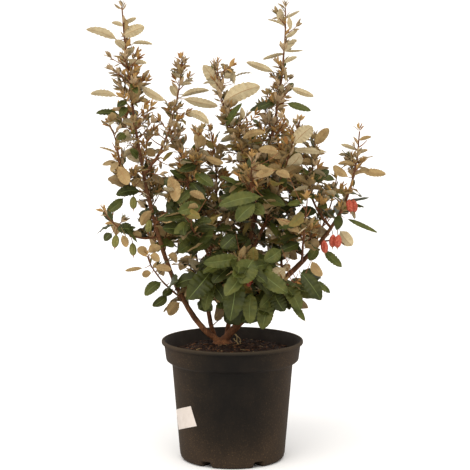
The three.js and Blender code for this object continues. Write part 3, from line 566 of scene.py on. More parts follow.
def ring_faces(rings, sides):
    """The faces between rings of points, ring after ring."""
    ring, side = np.meshgrid(np.arange(rings - 1), np.arange(sides), indexing="ij")
    a = ring * sides + side
    b = ring * sides + (side + 1) % sides
    return np.stack([a, b, b + sides, a + sides], -1).reshape(-1, 4)


def tube_arrays(line, radii, sides):
    """Points and faces of a closed tube round a line. Its ends are drawn together, so they need no cap."""
    along = unit(np.gradient(line, axis=0))
    across = unit(np.cross(along[0], [0.0, 1.0, 0.2]))
    angles = full_turn(sides)[:, None]
    rings = []
    for at, way, radius in zip(line, along, radii):
        across = unit(across - way * np.dot(across, way))
        rings.append(at + radius * (np.cos(angles) * across + np.sin(angles) * np.cross(way, across)))
    first = line[0] + (rings[0] - line[0]) * TUBE_END
    last = line[-1] + along[-1] * radii[-1] + (rings[-1] - line[-1]) * TUBE_END
    rings = np.array([first, *rings, last])
    return rings.reshape(-1, 3), ring_faces(len(rings), sides)


class Sheaf:
    """Points, four-sided faces, their materials and their places on a leaf, gathered into one mesh."""

    def __init__(self):
        self.points, self.faces, self.kinds, self.places, self.count = [], [], [], [], 0

    def add(self, points, faces, kinds=0, places=None):
        self.points.append(points)
        self.faces.append(faces + self.count)
        self.kinds.append(np.broadcast_to(kinds, len(faces)))
        self.places.append(np.zeros((len(points), 2)) if places is None else places)
        self.count += len(points)

    def add_tube(self, line, radii, sides, kind=0):
        self.add(*tube_arrays(line, radii, sides), kind)

    def make(self, name, materials):
        points = np.concatenate(self.points) / METRE
        faces = np.concatenate(self.faces)
        places = np.concatenate(self.places)[faces.ravel()]
        mesh = bpy.data.meshes.new(name)
        mesh.vertices.add(len(points))
        mesh.loops.add(faces.size)
        mesh.polygons.add(len(faces))
        mesh.vertices.foreach_set("co", points.astype(np.float32).ravel())
        mesh.loops.foreach_set("vertex_index", faces.astype(np.int32).ravel())
        mesh.polygons.foreach_set("loop_start", np.arange(0, faces.size, 4, dtype=np.int32))
        mesh.polygons.foreach_set("material_index", np.concatenate(self.kinds).astype(np.int32))
        mesh.polygons.foreach_set("use_smooth", np.ones(len(faces), bool))
        mesh.uv_layers.new(name="leaf").data.foreach_set("uv", places.astype(np.float32).ravel())
        mesh.update(calc_edges=True)
        mesh.validate()
        mesh.set_sharp_from_angle(angle=SHARP_ANGLE)
        for material in materials:
            mesh.materials.append(material)
        piece = bpy.data.objects.new(name, mesh)
        bpy.context.scene.collection.objects.link(piece)
        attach(piece, "root")
        return piece


# Materials


class Surface:
    """A material with its shader, and the few kinds of node that its looks are made of."""

    def __init__(self, name, specular=0.25):
        self.material = bpy.data.materials.new(name)
        self.material.use_nodes = True
        self.tree = self.material.node_tree
        self.shader = self.tree.nodes["Principled BSDF"]
        self.shader.inputs["Specular IOR Level"].default_value = specular

    def feed(self, node, inputs):
        """Sets the inputs of a node to values, or links them to the outputs of other nodes."""
        for socket, value in inputs.items():
            if hasattr(value, "links"):
                self.tree.links.new(value, node.inputs[socket])
            else:
                node.inputs[socket].default_value = value

    def node(self, kind, inputs):
        node = self.tree.nodes.new("ShaderNode" + kind)
        self.feed(node, inputs)
        return node

    def maths(self, operation, a, b=0.0, clamp=False):
        node = self.node("Math", {0: a, 1: b})
        node.operation = operation
        node.use_clamp = clamp
        return node.outputs[0]

    def place(self):
        """X, Y and Z in the object's own axes, in metres."""
        coords = self.node("TexCoord", {}).outputs["Object"]
        return self.node("SeparateXYZ", {0: coords}).outputs

    def noise(self, scale, detail, stretch=(1, 1, 1), roughness=0.55):
        coords = self.node("TexCoord", {}).outputs["Object"]
        mapped = self.node("Mapping", {"Vector": coords, "Scale": stretch}).outputs[0]
        inputs = {"Vector": mapped, "Scale": scale, "Detail": detail, "Roughness": roughness}
        return self.node("TexNoise", inputs).outputs["Fac"]

    def cells(self, scale):
        coords = self.node("TexCoord", {}).outputs["Object"]
        return self.node("TexVoronoi", {"Vector": coords, "Scale": scale}).outputs["Distance"]

    def ramp(self, value, *stops):
        """A value turned into greys or screen colours. Each stop has the value and what it becomes."""
        node = self.node("ValToRGB", {0: value})
        while len(node.color_ramp.elements) < len(stops):
            node.color_ramp.elements.new(0.5)
        for element, (position, tone) in zip(node.color_ramp.elements, stops):
            element.position = position
            element.color = (*(lin(*tone) if isinstance(tone, tuple) else (tone, tone, tone)), 1)
        return node.outputs[0]

    def mix(self, share, first, second):
        """Two linear colours, or outputs with a colour, mixed."""
        node = self.node("Mix", {})
        node.data_type = "RGBA"
        first, second = ((*tone, 1) if isinstance(tone, tuple) else tone for tone in (first, second))
        self.feed(node, {0: share, 6: first, 7: second})
        return node.outputs[2]

    def finish(self, tone, roughness, height, distance, strength=0.6):
        relief = self.node("Bump", {"Strength": strength, "Distance": distance, "Height": height})
        self.feed(self.shader, {"Base Color": tone, "Roughness": roughness, "Normal": relief.outputs[0]})
        return self.material


def leaf_veins(look):
    """1 on the side veins of a leaf and 0 between them, from the leaf's own places."""
    spots = look.node("UVMap", {})
    spots.uv_map = "leaf"
    along, across, _ = look.node("SeparateXYZ", {0: spots.outputs[0]}).outputs
    off = look.maths("ABSOLUTE", look.maths("SUBTRACT", across, 0.5))
    phase = look.maths("SUBTRACT", look.maths("MULTIPLY", along, 11), look.maths("MULTIPLY", off, 5))
    wave = look.maths("ABSOLUTE", look.maths("SUBTRACT", look.maths("FRACT", phase), 0.5))
    return look.maths("MULTIPLY", look.maths("SUBTRACT", wave, 0.38, clamp=True), 8, clamp=True)


def leaf_top(name, colour, shade, gloss, veined=True):
    look = Surface(name, 0.2)
    colour, shade = lin(*colour), lin(*shade)
    pale = tuple(min(1, c * 1.6 + 0.01) for c in colour)
    patches = look.noise(70, 3)
    height = look.noise(1400, 2)
    tone = look.mix(look.ramp(patches, (0.35, 0.0), (0.7, 1.0)), colour, shade)
    tone = look.mix(look.ramp(height, (0.6, 0.0), (0.75, 0.3)), tone, pale)
    if veined:
        veins = leaf_veins(look)
        tone = look.mix(look.maths("MULTIPLY", veins, 0.22), tone, pale)
        height = look.maths("MULTIPLY", height, 0.3)
        height = look.maths("SUBTRACT", height, look.maths("MULTIPLY", veins, 0.9))
    return look.finish(tone, look.ramp(patches, (0.3, gloss), (0.7, gloss + 0.14)), height, 0.0004)


def leaf_under(name, colour, speck):
    look = Surface(name)
    colour, speck = lin(*colour), lin(*speck)
    specks = look.cells(620)
    patches = look.noise(90, 3)
    tone = look.mix(look.ramp(patches, (0.35, 0.0), (0.7, 0.5)), colour, speck)
    tone = look.mix(look.ramp(specks, (0.2, 0.75), (0.34, 0.0)), tone, speck)
    return look.finish(tone, look.ramp(patches, (0.3, 0.58), (0.7, 0.74)), specks, 0.0003)


def mottled(name, stops, scale, gloss, fine=900, relief=0.0005, stretch=(1, 1, 1), foot=()):
    """A rough natural surface: colours and relief by coarse and fine noise. It may have other colours
    at the foot of the limbs."""
    look = Surface(name)
    small = look.noise(fine, 3, stretch)
    coarse = look.maths("MULTIPLY", look.noise(scale, 5, stretch), 0.6)
    both = look.maths("ADD", coarse, look.maths("MULTIPLY", small, 0.4))
    tone = look.ramp(both, *stops)
    if foot:
        tone = look.mix(look.ramp(look.place()[2], (0.225, 1.0), (0.275, 0.0)), tone, look.ramp(both, *foot))
    return look.finish(tone, look.ramp(small, (0.3, gloss), (0.7, min(1, gloss + 0.2))), both, relief)


def pot_plastic():
    """Black moulded plastic, darkest at the middle of the front and back. Round that it has dust and a
    painted sheen towards the sides, and it grows paler towards the foot; the top of the lip has a painted
    highlight.
    """
    look = Surface("black_plastic", 0.09)
    x, _, z = look.place()
    # Dust and a painted sheen grow away from the dark middle, towards the sides and the foot; at the sides
    # the painted sheen stands in for the reflection of the bright surroundings
    side = look.maths("MULTIPLY", x, METRE / DARK_MIDDLE_WIDTH)
    low = look.maths("SUBTRACT", DARK_MIDDLE_FOOT / METRE, z, clamp=True)
    low = look.maths("MULTIPLY", low, METRE / DARK_MIDDLE_FADE)
    away = look.maths("ADD", look.maths("MULTIPLY", side, side), look.maths("MULTIPLY", low, low))
    patches = look.maths("SUBTRACT", look.noise(34, 7, (1, 1, 0.7), 0.66), 0.5)
    dust_and_sheen = look.maths("MULTIPLY", away, 0.42, clamp=True)
    dust_and_sheen = look.maths("ADD", dust_and_sheen, look.maths("MULTIPLY", patches, 0.7), clamp=True)
    grain = look.noise(1100, 2)
    specks = look.ramp(look.noise(430, 4, (1, 1, 1), 0.75), (0.56, 0.0), (0.68, 0.8))
    tone = look.ramp(dust_and_sheen, (0.0, (17, 14, 11)), (0.4, (31, 25, 19)), (0.9, (50, 40, 31)))
    tone = look.mix(look.ramp(grain, (0.62, 0.0), (0.8, 0.3)), tone, lin(60, 48, 36))
    tone = look.mix(look.maths("MULTIPLY", specks, dust_and_sheen), tone, lin(96, 76, 50))
    # Painted highlight: the top of the lip is made paler by height
    tone = look.mix(look.ramp(z, (0.2175, 0.0), (0.2205, 0.6)), tone, lin(78, 68, 54))
    return look.finish(tone, look.ramp(dust_and_sheen, (0.1, 0.55), (0.8, 0.74)), grain, 0.00035, 0.35)


BARK = mottled(
    "bark", [(0.3, (50, 33, 20)), (0.5, (90, 57, 33)), (0.7, (134, 92, 58))],
    90, 0.68, 700, 0.0007, (1, 1, 0.3),
    [(0.32, (50, 30, 18)), (0.5, (104, 64, 38)), (0.66, (160, 110, 72))])
TWIG_SKIN = mottled(
    "twig_skin", [(0.32, (74, 42, 25)), (0.52, (120, 74, 45)), (0.7, (156, 106, 70))],
    160, 0.58, 1200, 0.0003, (1, 1, 0.4))
STEM_BARK = mottled(
    "young_bark", [(0.32, (58, 36, 20)), (0.52, (100, 62, 36)), (0.7, (138, 94, 56))],
    140, 0.58, 1200, 0.0003, (1, 1, 0.4))
RIB = mottled("leaf_rib", [(0.3, (78, 92, 44)), (0.7, (104, 112, 60))], 220, 0.45, 1500, 0.0002)
UNDER_RIB = mottled("underside_rib", [(0.3, (132, 96, 58)), (0.7, (158, 122, 80))], 220, 0.6, 1500, 0.0002)
UNDER_PALE = leaf_under("underside_pale", (190, 176, 140), (152, 126, 90))
UNDER_WARM = leaf_under("underside_warm", (160, 136, 92), (116, 86, 52))
YOUNG_UNDER = leaf_under("young_underside", (182, 158, 122), (126, 94, 63))
YOUNG_GOLDEN = leaf_under("young_golden_underside", (180, 145, 88), (128, 86, 47))

# Leaf colours: upper side, underside, and on large leaves their ribs
LARGE_TINTS = {
    "dark": (leaf_top("leaf_dark_green", (40, 45, 12), (60, 64, 20), 0.42), UNDER_WARM, RIB, UNDER_RIB),
    "green": (leaf_top("leaf_green", (56, 63, 19), (84, 85, 36), 0.42), UNDER_PALE, RIB, UNDER_RIB),
    "olive": (leaf_top("leaf_olive", (92, 80, 36), (126, 108, 54), 0.46), UNDER_WARM, RIB, UNDER_RIB),
    "tan": (leaf_top("leaf_tan", (148, 128, 92), (118, 98, 66), 0.5), UNDER_WARM, UNDER_RIB, UNDER_RIB),
}
SMALL_TINTS = {
    "rust": (leaf_top("young_rust", (110, 72, 33), (164, 117, 62), 0.5, False), YOUNG_GOLDEN),
    "bronze": (leaf_top("young_bronze", (92, 78, 52), (148, 126, 90), 0.5, False), YOUNG_UNDER),
    "young_green": (leaf_top("young_green", (74, 72, 28), (104, 94, 44), 0.46, False), UNDER_WARM),
}
TINTS = {
    "leaves": LARGE_TINTS,
    "big_leaves": LARGE_TINTS,
    "mid_leaves": {tint: sides[:2] for tint, sides in LARGE_TINTS.items()},
    "small_leaves": SMALL_TINTS,
}


# Growing: stems and twigs go to tubes, leaves to lists by kind and colour

stem_sheaf = Sheaf()
ripe_sheaf = Sheaf()
unripe_sheaf = Sheaf()
leaves = {kind: {tint: [] for tint in tints} for kind, tints in TINTS.items()}


def greenness(height):
    """1 in the zone of old green leaves low down, falling to 0 towards the tips."""
    return 1 - risen(height, GREEN_ZONE, GREEN_FADE)


def thinness(height):
    """0 in the body of the crown, rising to 1 at the bare tips of the leaders."""
    return risen(height, TIP_ZONE, TIP_FADE)


def paleness(height):
    """0 in the golden middle of the crown, rising to 1 in the paler tops of the shoots."""
    return risen(height, PALE_ZONE, PALE_FADE)


def facing(root, reach):
    """The roll, in degrees, that turns a leaf's upper side outwards from the middle of the crown."""
    out = unit(np.array([root[0] - CROWN_AXIS[0], root[1] - CROWN_AXIS[1], 0.0])) + UP * 0.5
    along = unit(reach)
    flat = unit(np.cross(along, UP))
    turn = math.degrees(math.atan2(flat @ out, np.cross(flat, along) @ out))
    return turn if along[0] < 0 else -turn


def large_tint(height, chance):
    """The colour of an old leaf: dark green low down, olive and tan higher up."""
    green = greenness(height)
    if chance < between(DARK_SHARE, green):
        return "dark"
    if chance < between(GREEN_SHARE, green) + PALE_GREEN_SHARE * paleness(height):
        return "green"
    return "olive" if chance < between(OLIVE_SHARE, green) else "tan"


def small_tint(height, chance):
    """The colour of a young leaf: green low down, rust or bronze higher up."""
    green = between(YOUNG_GREEN_SHARE, greenness(height + 60))
    if chance < green:
        return "young_green"
    return "rust" if chance < green + (1 - green) * between(RUST_SHARE, paleness(height)) else "bronze"


def in_opening(root, reach):
    """Whether a leaf or twig would cross one of the openings, as seen from the front."""
    for share in (0.25, 0.6, 0.95):
        at = root + reach * share
        x, _, z = EYE + (at - EYE) * EYE[1] / (EYE[1] - at[1])
        for opening_x, opening_z, radius in OPENINGS:
            if math.hypot(x - opening_x, z - opening_z) < radius:
                return True
    return False


def add_leaf(kind, tint, root, reach, roll, chance, width=None):
    """Adds a leaf, turned in where its tip would leave the box of the solids."""
    reach = np.clip(root + reach, BOX_LOW + BOX_ROOM, BOX_HIGH - BOX_ROOM) - root
    if width is None:
        width = np.linalg.norm(reach) * WIDTH_SHARES[kind] * vary(0.3, chance)
    leaves[kind][tint].append((root, reach, width, roll, chance))


def add_named_leaf(root, reach, width, roll, chance):
    """A large leaf that is named above: green from above, pale or golden from below."""
    if roll < 0:
        tint = "dark" if chance < 0.5 else "green"
    elif width >= PALE_WIDTH or chance < paleness(root[2]):
        tint = "green"
    else:
        tint = "olive" if chance < 0.6 else "tan"
    add_leaf("big_leaves", tint, root, reach, roll, chance, width)


def add_old_leaf(root, reach, width, roll, chance):
    if not in_opening(root, reach):
        add_leaf("leaves", large_tint(root[2], chance), root, reach, roll, chance, width)


def add_mid_leaf(root, reach, chance):
    if not in_opening(root, reach):
        tint = large_tint(root[2], (chance * 5.7) % 1)
        add_leaf("mid_leaves", tint, root, reach, 90 * ((chance * 3.1) % 1 - 0.5), chance)


def add_young_leaf(root, reach, chance, tint):
    if not in_opening(root, reach):
        add_leaf("small_leaves", tint, root, reach, 150 * (chance - 0.5), chance)


def add_twig(root, reach, radius, sag=TWIG_SAG):
    """A side twig that sets out flatter than it ends. Returns the points along it."""
    shares = np.linspace(0, 1, 6)
    length = np.linalg.norm(reach)
    line = np.array([root + reach * s - UP * length * sag * 4 * s * (1 - s) for s in shares])
    stem_sheaf.add_tube(line, between((radius, radius * TWIG_TAPER), shares), 5, int(radius < THICK_TWIG))
    return line


def spray(index, place, root, reach, radius, leaf_length, finer=True):
    """A side twig with young leaves all along, a tuft at its end, and smaller twigs of its own. Low down
    the young leaves are few and green. Fine twigs stay out of the openings."""
    if radius <= FINE_TWIG and in_opening(root, reach):
        return
    line = add_twig(root, reach, radius)
    run = line[-1] - line[0]
    length = np.linalg.norm(reach)
    along = unit(reach)
    radial = round_stem(along, UP + 0.01)
    tint = small_tint(root[2], draw(index, place, 11))
    low = greenness(root[2])
    start = draw(index, place, 12) * 6
    count = max(3, int(length / SPRAY_PITCH))
    for i in range(count):
        share = between((SPRAY_START, 1.0), (i + 0.5) / count)
        at = line[0] + run * share - UP * length * TWIG_SAG * 4 * share * (1 - share)
        chance = draw(index, place * 31 + i, 13)
        size_chance = draw(index, place * 31 + i, 14)
        opening = math.radians(between(YOUNG_SPLAY, share)) * vary(0.4, chance)
        way = along * math.cos(opening) + radial(i * GOLDEN_TURN + start) * math.sin(opening)
        if i % 3 == 1 and share < MID_LEAF_END and chance > between(MID_LEAF_LOSS, low):
            size = between(MID_LENGTH, size_chance) * between(MID_LEAF_SIZE, low)
            add_mid_leaf(at, unit(way + UP * between(MID_LEAF_LIFT, low)) * size, chance)
        elif chance >= low * LOW_YOUNG_LOSS:
            size = leaf_length * between(YOUNG_ALONG, share) * vary(0.5, size_chance)
            add_young_leaf(at, unit(way + UP * 0.2) * size, chance, tint)
    for i in range(END_LEAVES):
        way = unit(along * 0.85 + radial(i * 2 * math.pi / END_LEAVES + start) * 0.4 + UP * 0.25)
        size = leaf_length * vary(0.3, draw(index, place * 3 + i, 18))
        add_young_leaf(line[-1] - along * 1.5, way * size, draw(index, place * 3 + i, 19), tint)
    if not finer:
        return
    for i, share in enumerate(FINER_PLACES):
        if draw(index, place * 7 + i, 15) < FINER_LOSS:
            continue
        way = unit(along * 0.8 + radial(i * GOLDEN_TURN + draw(index, place, 16) * 6) * 0.75 + UP * 0.45)
        spray(index, place * 5 + i + 1, line[0] + run * share, way * length * FINER_LENGTH,
              radius * FINER_RADIUS, leaf_length * FINER_LEAF, False)


def tuft(index, root, along, leaf_length):
    """A rosette of young leaves round a tip."""
    radial = round_stem(along, [0.1, 1.0, 0.0])
    tint = small_tint(root[2], draw(index, 1, 21) * 0.8 + 0.15)
    for i in range(TUFT_LEAVES):
        rest = i / TUFT_LEAVES
        opening = math.radians(between(TUFT_SPLAY, rest))
        way = along * math.cos(opening) + radial(i * GOLDEN_TURN) * math.sin(opening)
        at = root - along * leaf_length * 0.5 * (1 - rest)
        add_young_leaf(at, way * leaf_length * between((1.15, 0.7), rest), draw(index, i, 22), tint)


def fruit(root, middle, sheaf, heading):
    """A ridged hanging fruit on its stalk, with the withered flower below it."""
    angles = full_turn(FRUIT_SIDES)
    lean = np.array([math.cos(heading), math.sin(heading), 0]) * FRUIT_LEAN
    rings = []
    for height, width in FRUIT_PROFILE:
        ridge = 1 + RIDGE_HEIGHT * np.cos(angles * FRUIT_RIDGES) * (width > 0.3)
        ring = ring_at(angles, ridge * width * FRUIT_RADIUS, 0)
        rings.append(middle + ring + UP * height * FRUIT_LENGTH + lean * height)
    faces = ring_faces(len(rings), FRUIT_SIDES)
    sheaf.add(np.concatenate(rings), faces, np.arange(len(faces)) < FLOWER_RINGS * FRUIT_SIDES)
    top = middle + UP * FRUIT_LENGTH * 0.44
    stem_sheaf.add_tube(np.array([root, root * 0.5 + top * 0.5 + UP * 2, top]), (0.9, 0.7, 0.8), 6)


def add_fill(shoot, index):
    """Old leaves between those of the solids: dense and drooping low down, fewer and rising higher up."""
    for place, rest, root in shoot.places(FILL_END, OLD_PITCH if shoot.twig else HANGING_PITCH):
        low = greenness(root[2])
        if draw(index, place, 40) > between((OLD_SHARE_HIGH * (1 - rest), 1), low) * (1 - shoot.openness):
            continue
        heading = place * GOLDEN_TURN + index + FILL_TURN
        size = shoot.leaf * between(FILL_LENGTH, rest) * vary(0.5, draw(index, place, 41))
        rise = between(FILL_RISE, low) + FILL_RISE_SPREAD * (draw(index, place, 42) - 0.5) - shoot.droop * 0.5
        way = way_of(heading, rise)
        roll = between((FILL_ROLL, facing(root, way) * FACING_SHARE), low)
        roll += ROLL_SPREAD * (draw(index, place, 43) - 0.5)
        stand = way_of(heading, 30) * between(FILL_STAND, rest) * draw(index, place, 44)
        if np.linalg.norm(stand) > STALK_LEAST:
            add_twig(root, stand, STALK_RADIUS)
        add_old_leaf(root + stand, way * size, size * LEAF_WIDTH * 0.9, roll, draw(index, place, 45))


def add_named(name, shoot, index):
    """The fruits, large leaves and side twigs that are named above."""
    for share, offset in FRUITS.get(name, []):
        root = shoot.at(share)
        fruit(root, root + offset, unripe_sheaf if name in UNRIPE else ripe_sheaf, share * 40)
    for i, (share, reach, width, roll, *stalk) in enumerate(LARGE_LEAVES.get(name, [])):
        root = shoot.at(min(share, shoot.end))
        reach = np.array(reach, float)
        if stalk:
            add_twig(root, np.array(stalk[0], float), STALK_RADIUS)
            root = root + stalk[0]
        # Higher up the reach is that of the blade alone, and the leaf starts further back with a stalk
        high = 1 - greenness(root[2])
        add_named_leaf(root - reach * BLADE_START * high, reach * (1 + BLADE_GROWTH * high), width, roll,
                       draw(index, i, 30))
    for i, (share, reach) in enumerate(SIDE_TWIGS.get(name, [])):
        spray(index, i + 300, shoot.at(share), np.array(reach, float), NAMED_TWIG_RADIUS,
              YOUNG_LENGTH[0] * 1.4, False)


def add_shared(shoot, index):
    """The places of the solids: an old leaf, or a side twig with three of them and young leaves."""
    for place, rest, root in shoot.places(shoot.end, shoot.pitch):
        low = greenness(root[2])
        heading = place * GOLDEN_TURN + index
        size = shoot.leaf * between(LENGTH_ALONG, rest) * vary(LENGTH_SPREAD, draw(index, place, 1))
        size *= LEAF_SHRINK
        rise = between(RISE_ALONG, rest) - shoot.droop - RISE_SPREAD * draw(index, place, 2)
        roll = ROLL_SPREAD * (draw(index, place, 3) - 0.5)
        chance = draw(index, place, 5)
        if draw(index, place, 46) < thinness(root[2]):
            continue
        if place % 2 == 0 or not shoot.twig:
            way = way_of(heading, rise)
            roll += facing(root, way) * FACING_SHARE * low
            if draw(index, place, 47) >= OLD_LOSS_HIGH * (1 - low):
                add_old_leaf(root, way * size, size * LEAF_WIDTH, roll, chance)
            continue
        reach = shoot.twig * between(TWIG_ALONG, rest) * vary(TWIG_SPREAD, draw(index, place, 4))
        side = way_of(heading, rise + TWIG_LIFT) * reach
        spray(index, place, root, side, TWIG_RADIUS, between(YOUNG_LENGTH, 0.6 - 0.3 * rest))
        for along, turn, extra, share in TWIG_LEAVES:
            if draw(index, place * 3 + along, 6) >= rest * 0.6:
                leaf = size * share * 0.8
                way = way_of(heading + turn, rise + extra)
                add_old_leaf(root + side * along, way * leaf, leaf * LEAF_WIDTH, roll, chance)


def add_finer(shoot, index, tip_room):
    """Finer twigs on the stem, and young leaves between them."""
    twig = shoot.twig or LEAST_TWIG
    for place, rest, root in shoot.places(FINE_END, FINE_TWIG_PITCH, 0.2):
        if draw(index, place, 24) < max(shoot.openness, rest - 0.5, thinness(root[2])):
            continue
        heading = place * GOLDEN_TURN + index * 2.0 + FINE_TURN
        rise = between(RISE_ALONG, rest) - shoot.droop * 0.4 + FINE_SPREAD * (draw(index, place, 7) - 0.3)
        reach = twig * FINE_TWIG_SHARE * between(TWIG_ALONG, rest) * vary(0.8, draw(index, place, 8))
        reach *= 1 - FINE_SHORTENING * rest
        size = between(YOUNG_LENGTH, draw(index, place, 9) * (1 - 0.5 * rest))
        spray(index, place + 100, root, way_of(heading, rise) * reach, FINE_TWIG, size, rest < FORKED_END)
    for place, rest, root in shoot.places(1 - tip_room, FINE_PITCH, 0):
        chance = draw(index, place, 10)
        if chance < max(greenness(root[2]) * LOW_YOUNG_LOSS, thinness(root[2]) * 0.35, shoot.openness * 0.6):
            continue
        size = between(YOUNG_LENGTH, chance) * between(YOUNG_ALONG, rest)
        rise = between(YOUNG_RISE, rest) + YOUNG_RISE_SPREAD * (chance - 0.5)
        way = way_of(place * GOLDEN_TURN + index, rise)
        add_young_leaf(root, way * size, chance, small_tint(root[2], draw(index, place // 4, 17)))


def grow(name, index):
    shoot = shoots[name]
    tip_room = YOUNG_LENGTH[0] / shoot.length
    steps = max(6, int(shoot.length * (1 - shoot.bare) / STEM_STEP))
    shares = np.linspace(shoot.bare - (0.01 if shoot.bare else 0), 1 - tip_room, steps)
    line = shoot.line(shares)
    wander = [[rough(p, WANDER_LENGTH, index), rough(p, WANDER_LENGTH, index + 9), 0] for p in line[1:-1]]
    line[1:-1] += np.array(wander) * STEM_WANDER
    knots = 1 + 0.1 * np.cos(np.arange(steps) * 2.1)
    stem_sheaf.add_tube(line, shoot.radius(shares) * knots, 8)
    add_named(name, shoot, index)
    add_shared(shoot, index)
    add_fill(shoot, index)
    add_finer(shoot, index, tip_room)
    tuft(index, shoot.at(1 - tip_room * 0.5), unit(shoot.bend[3] - shoot.bend[2]), YOUNG_LENGTH[0] * 1.25)


# Leaves as folded, waved blades: rows along, columns across, both sides sharing their edge


def per_leaf(values):
    """Values of each leaf, shaped to meet its rows and columns."""
    return values[:, None, None]


def blade_arrays(blades, rows, half, columns, ribbed, bow, waves, ripple, fold):
    """All the leaves of a list as one set of points, faces, kinds and places."""
    root, reach, width, roll, chance = (np.array(values) for values in zip(*blades))
    count = len(root)
    along = unit(reach)
    flat = unit(np.cross(along, np.where(np.abs(along[:, 2:3]) > 0.97, AWAY, UP)))
    turn = (np.radians(roll) * np.where(along[:, 0] < 0, 1, -1))[:, None]
    side = flat * np.cos(turn) + np.cross(along, flat) * np.sin(turn)
    top = np.cross(side, along)

    r = rows[None, :, None]
    c = columns[None, None, :]
    phase = per_leaf(chance)
    length = per_leaf(np.linalg.norm(reach, axis=1))
    second = (phase * 7.31) % 1
    notches = np.sin(r * waves * 1.3 + phase * 70 + c * 2) * (np.abs(c) > 0.6)
    w = half[None, :, None] * per_leaf(width / 2) * (1 + MARGIN_WAVE * ribbed * notches)
    twist = (phase - 0.5) * BLADE_TWIST * r
    lift = between(bow, second) * 4 * r * (1 - r) * length
    lift = lift + w * np.abs(c) * (fold + FOLD_SPREAD * phase - MARGIN_DROOP * np.abs(c))
    lift = lift + w * ripple * (0.5 + second) * np.sin(r * waves + phase * 40 + c * 1.4) * c * c
    lift = lift + w * c * np.sin(twist)
    sway = ((phase * 3.7) % 1 - 0.5) * BLADE_SWAY * np.sin(r * math.pi) * length
    across = w * c * np.cos(twist) + sway

    edge = np.zeros((len(rows), len(columns)), bool)
    edge[[0, -1], :] = True
    edge[:, [0, -1]] = True
    thick = np.where(edge, 0, LEAF_THICKNESS / 2)[None]
    groove = np.where(np.abs(c) < RIB_REACH, GROOVE_DEPTH * np.minimum(1, per_leaf(width / 30)), 0)
    groove = groove * ribbed * (w > 2)

    def place(offset):
        at = per_leaf(root) + per_leaf(reach) * r[..., None] + per_leaf(side) * across[..., None]
        return (at + per_leaf(top) * (lift + offset)[..., None]).reshape(count, -1, 3)

    upper = place(thick - groove * ~edge)
    lower = place(-thick - groove * 1.5 * ~edge)[:, ~edge.ravel()]
    points = np.concatenate([upper, lower], axis=1)
    under = np.arange(edge.size)
    under[~edge.ravel()] = edge.size + np.arange((~edge).sum())
    grid = np.arange(edge.size).reshape(edge.shape)
    corners = np.stack([grid[:-1, :-1], grid[:-1, 1:], grid[1:, 1:], grid[1:, :-1]], -1).reshape(-1, 4)
    # The lower side starts from the same corner, so that both sides are split along the same diagonal
    faces = np.concatenate([corners, under[corners[:, FLIPPED]]])
    ribs = np.tile(np.abs((columns[:-1] + columns[1:]) / 2) < 0.02, len(rows) - 1) & ribbed
    kinds = np.concatenate([np.where(ribs, 2, 0), np.where(ribs, 3, 1)])
    offsets = per_leaf(np.arange(count) * points.shape[1])
    spots = np.stack(np.meshgrid(rows, (columns + 1) / 2, indexing="ij"), -1).reshape(-1, 2)
    spots = np.concatenate([spots, spots[~edge.ravel()]])
    return (points.reshape(-1, 3), (faces[None] + offsets).reshape(-1, 4),
            np.tile(kinds, count), np.tile(spots, (count, 1)))


def make_leaves(kind):
    """One piece for each tint of a kind of leaf."""
    for tint, blades in leaves[kind].items():
        sheaf = Sheaf()
        sheaf.add(*blade_arrays(blades, **BLADES[kind]))
        piece = sheaf.make(kind + "_" + tint, TINTS[kind][tint])


# The trunk and boughs, fused and given the bark's relief


def make_dead_twig():
    """The thin bare twig that leans across the foot of the back limb."""
    root = shoots["left"].at(DEAD_TWIG_SHARE)
    add_twig(root, np.array(DEAD_TWIG_REACH, float), DEAD_TWIG_RADIUS, DEAD_TWIG_SAG)


def vertex_values(mesh, what):
    values = np.zeros(len(mesh.vertices) * 3)
    mesh.vertices.foreach_get(what, values)
    return values.reshape(-1, 3)


def make_limbs():
    sheaf = Sheaf()
    heights, radii = np.array(BASE_RINGS, float).T
    line = np.stack([np.full(len(heights), BASE_X), BASE_Y + heights * BASE_LEAN, SOIL_TOP + heights], -1)
    sheaf.add_tube(line, radii, 20)
    for shoot in shoots.values():
        if shoot.bare:
            shares = np.linspace(0, shoot.bare + 0.004, max(8, int(shoot.length * shoot.bare / 8)))
            sheaf.add_tube(shoot.line(shares), shoot.radius(shares), 14)
    limbs = sheaf.make("limbs", [BARK])
    fuse = limbs.modifiers.new("fuse", "REMESH")
    fuse.mode = "VOXEL"
    fuse.voxel_size = BARK_VOXEL / METRE
    smooth = limbs.modifiers.new("smooth", "SMOOTH")
    smooth.factor = 0.5
    smooth.iterations = 3
    bpy.context.view_layer.update()
    fused = bpy.data.meshes.new_from_object(limbs.evaluated_get(bpy.context.evaluated_depsgraph_get()))
    limbs.modifiers.clear()
    limbs.data = fused
    points = vertex_values(fused, "co") * METRE
    normals = vertex_values(fused, "normal")
    for i, (x, y, z) in enumerate(points):
        ridges = rough((x, y, z * 0.28), 3.4, 3.0)
        lumps = rough((x, y, z), 16, 8.0)
        knots = max(0, rough((x, y, z), 9, 5.0) - 0.45)
        points[i] += normals[i] * (RIDGE_RELIEF * ridges + LUMP_RELIEF * lumps + KNOT_RELIEF * knots)
    fused.vertices.foreach_set("co", (points / METRE).ravel())
    fused.polygons.foreach_set("use_smooth", np.ones(len(fused.polygons), bool))
    fused.update()
    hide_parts("trunk", *[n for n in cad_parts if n.startswith("bough_")])


# The pot


def arc(centre_radius, centre_height, radius, start, end, steps):
    angles = np.radians(np.linspace(start, end, steps))
    return [(centre_radius + radius * math.cos(a), centre_height + radius * math.sin(a)) for a in angles]


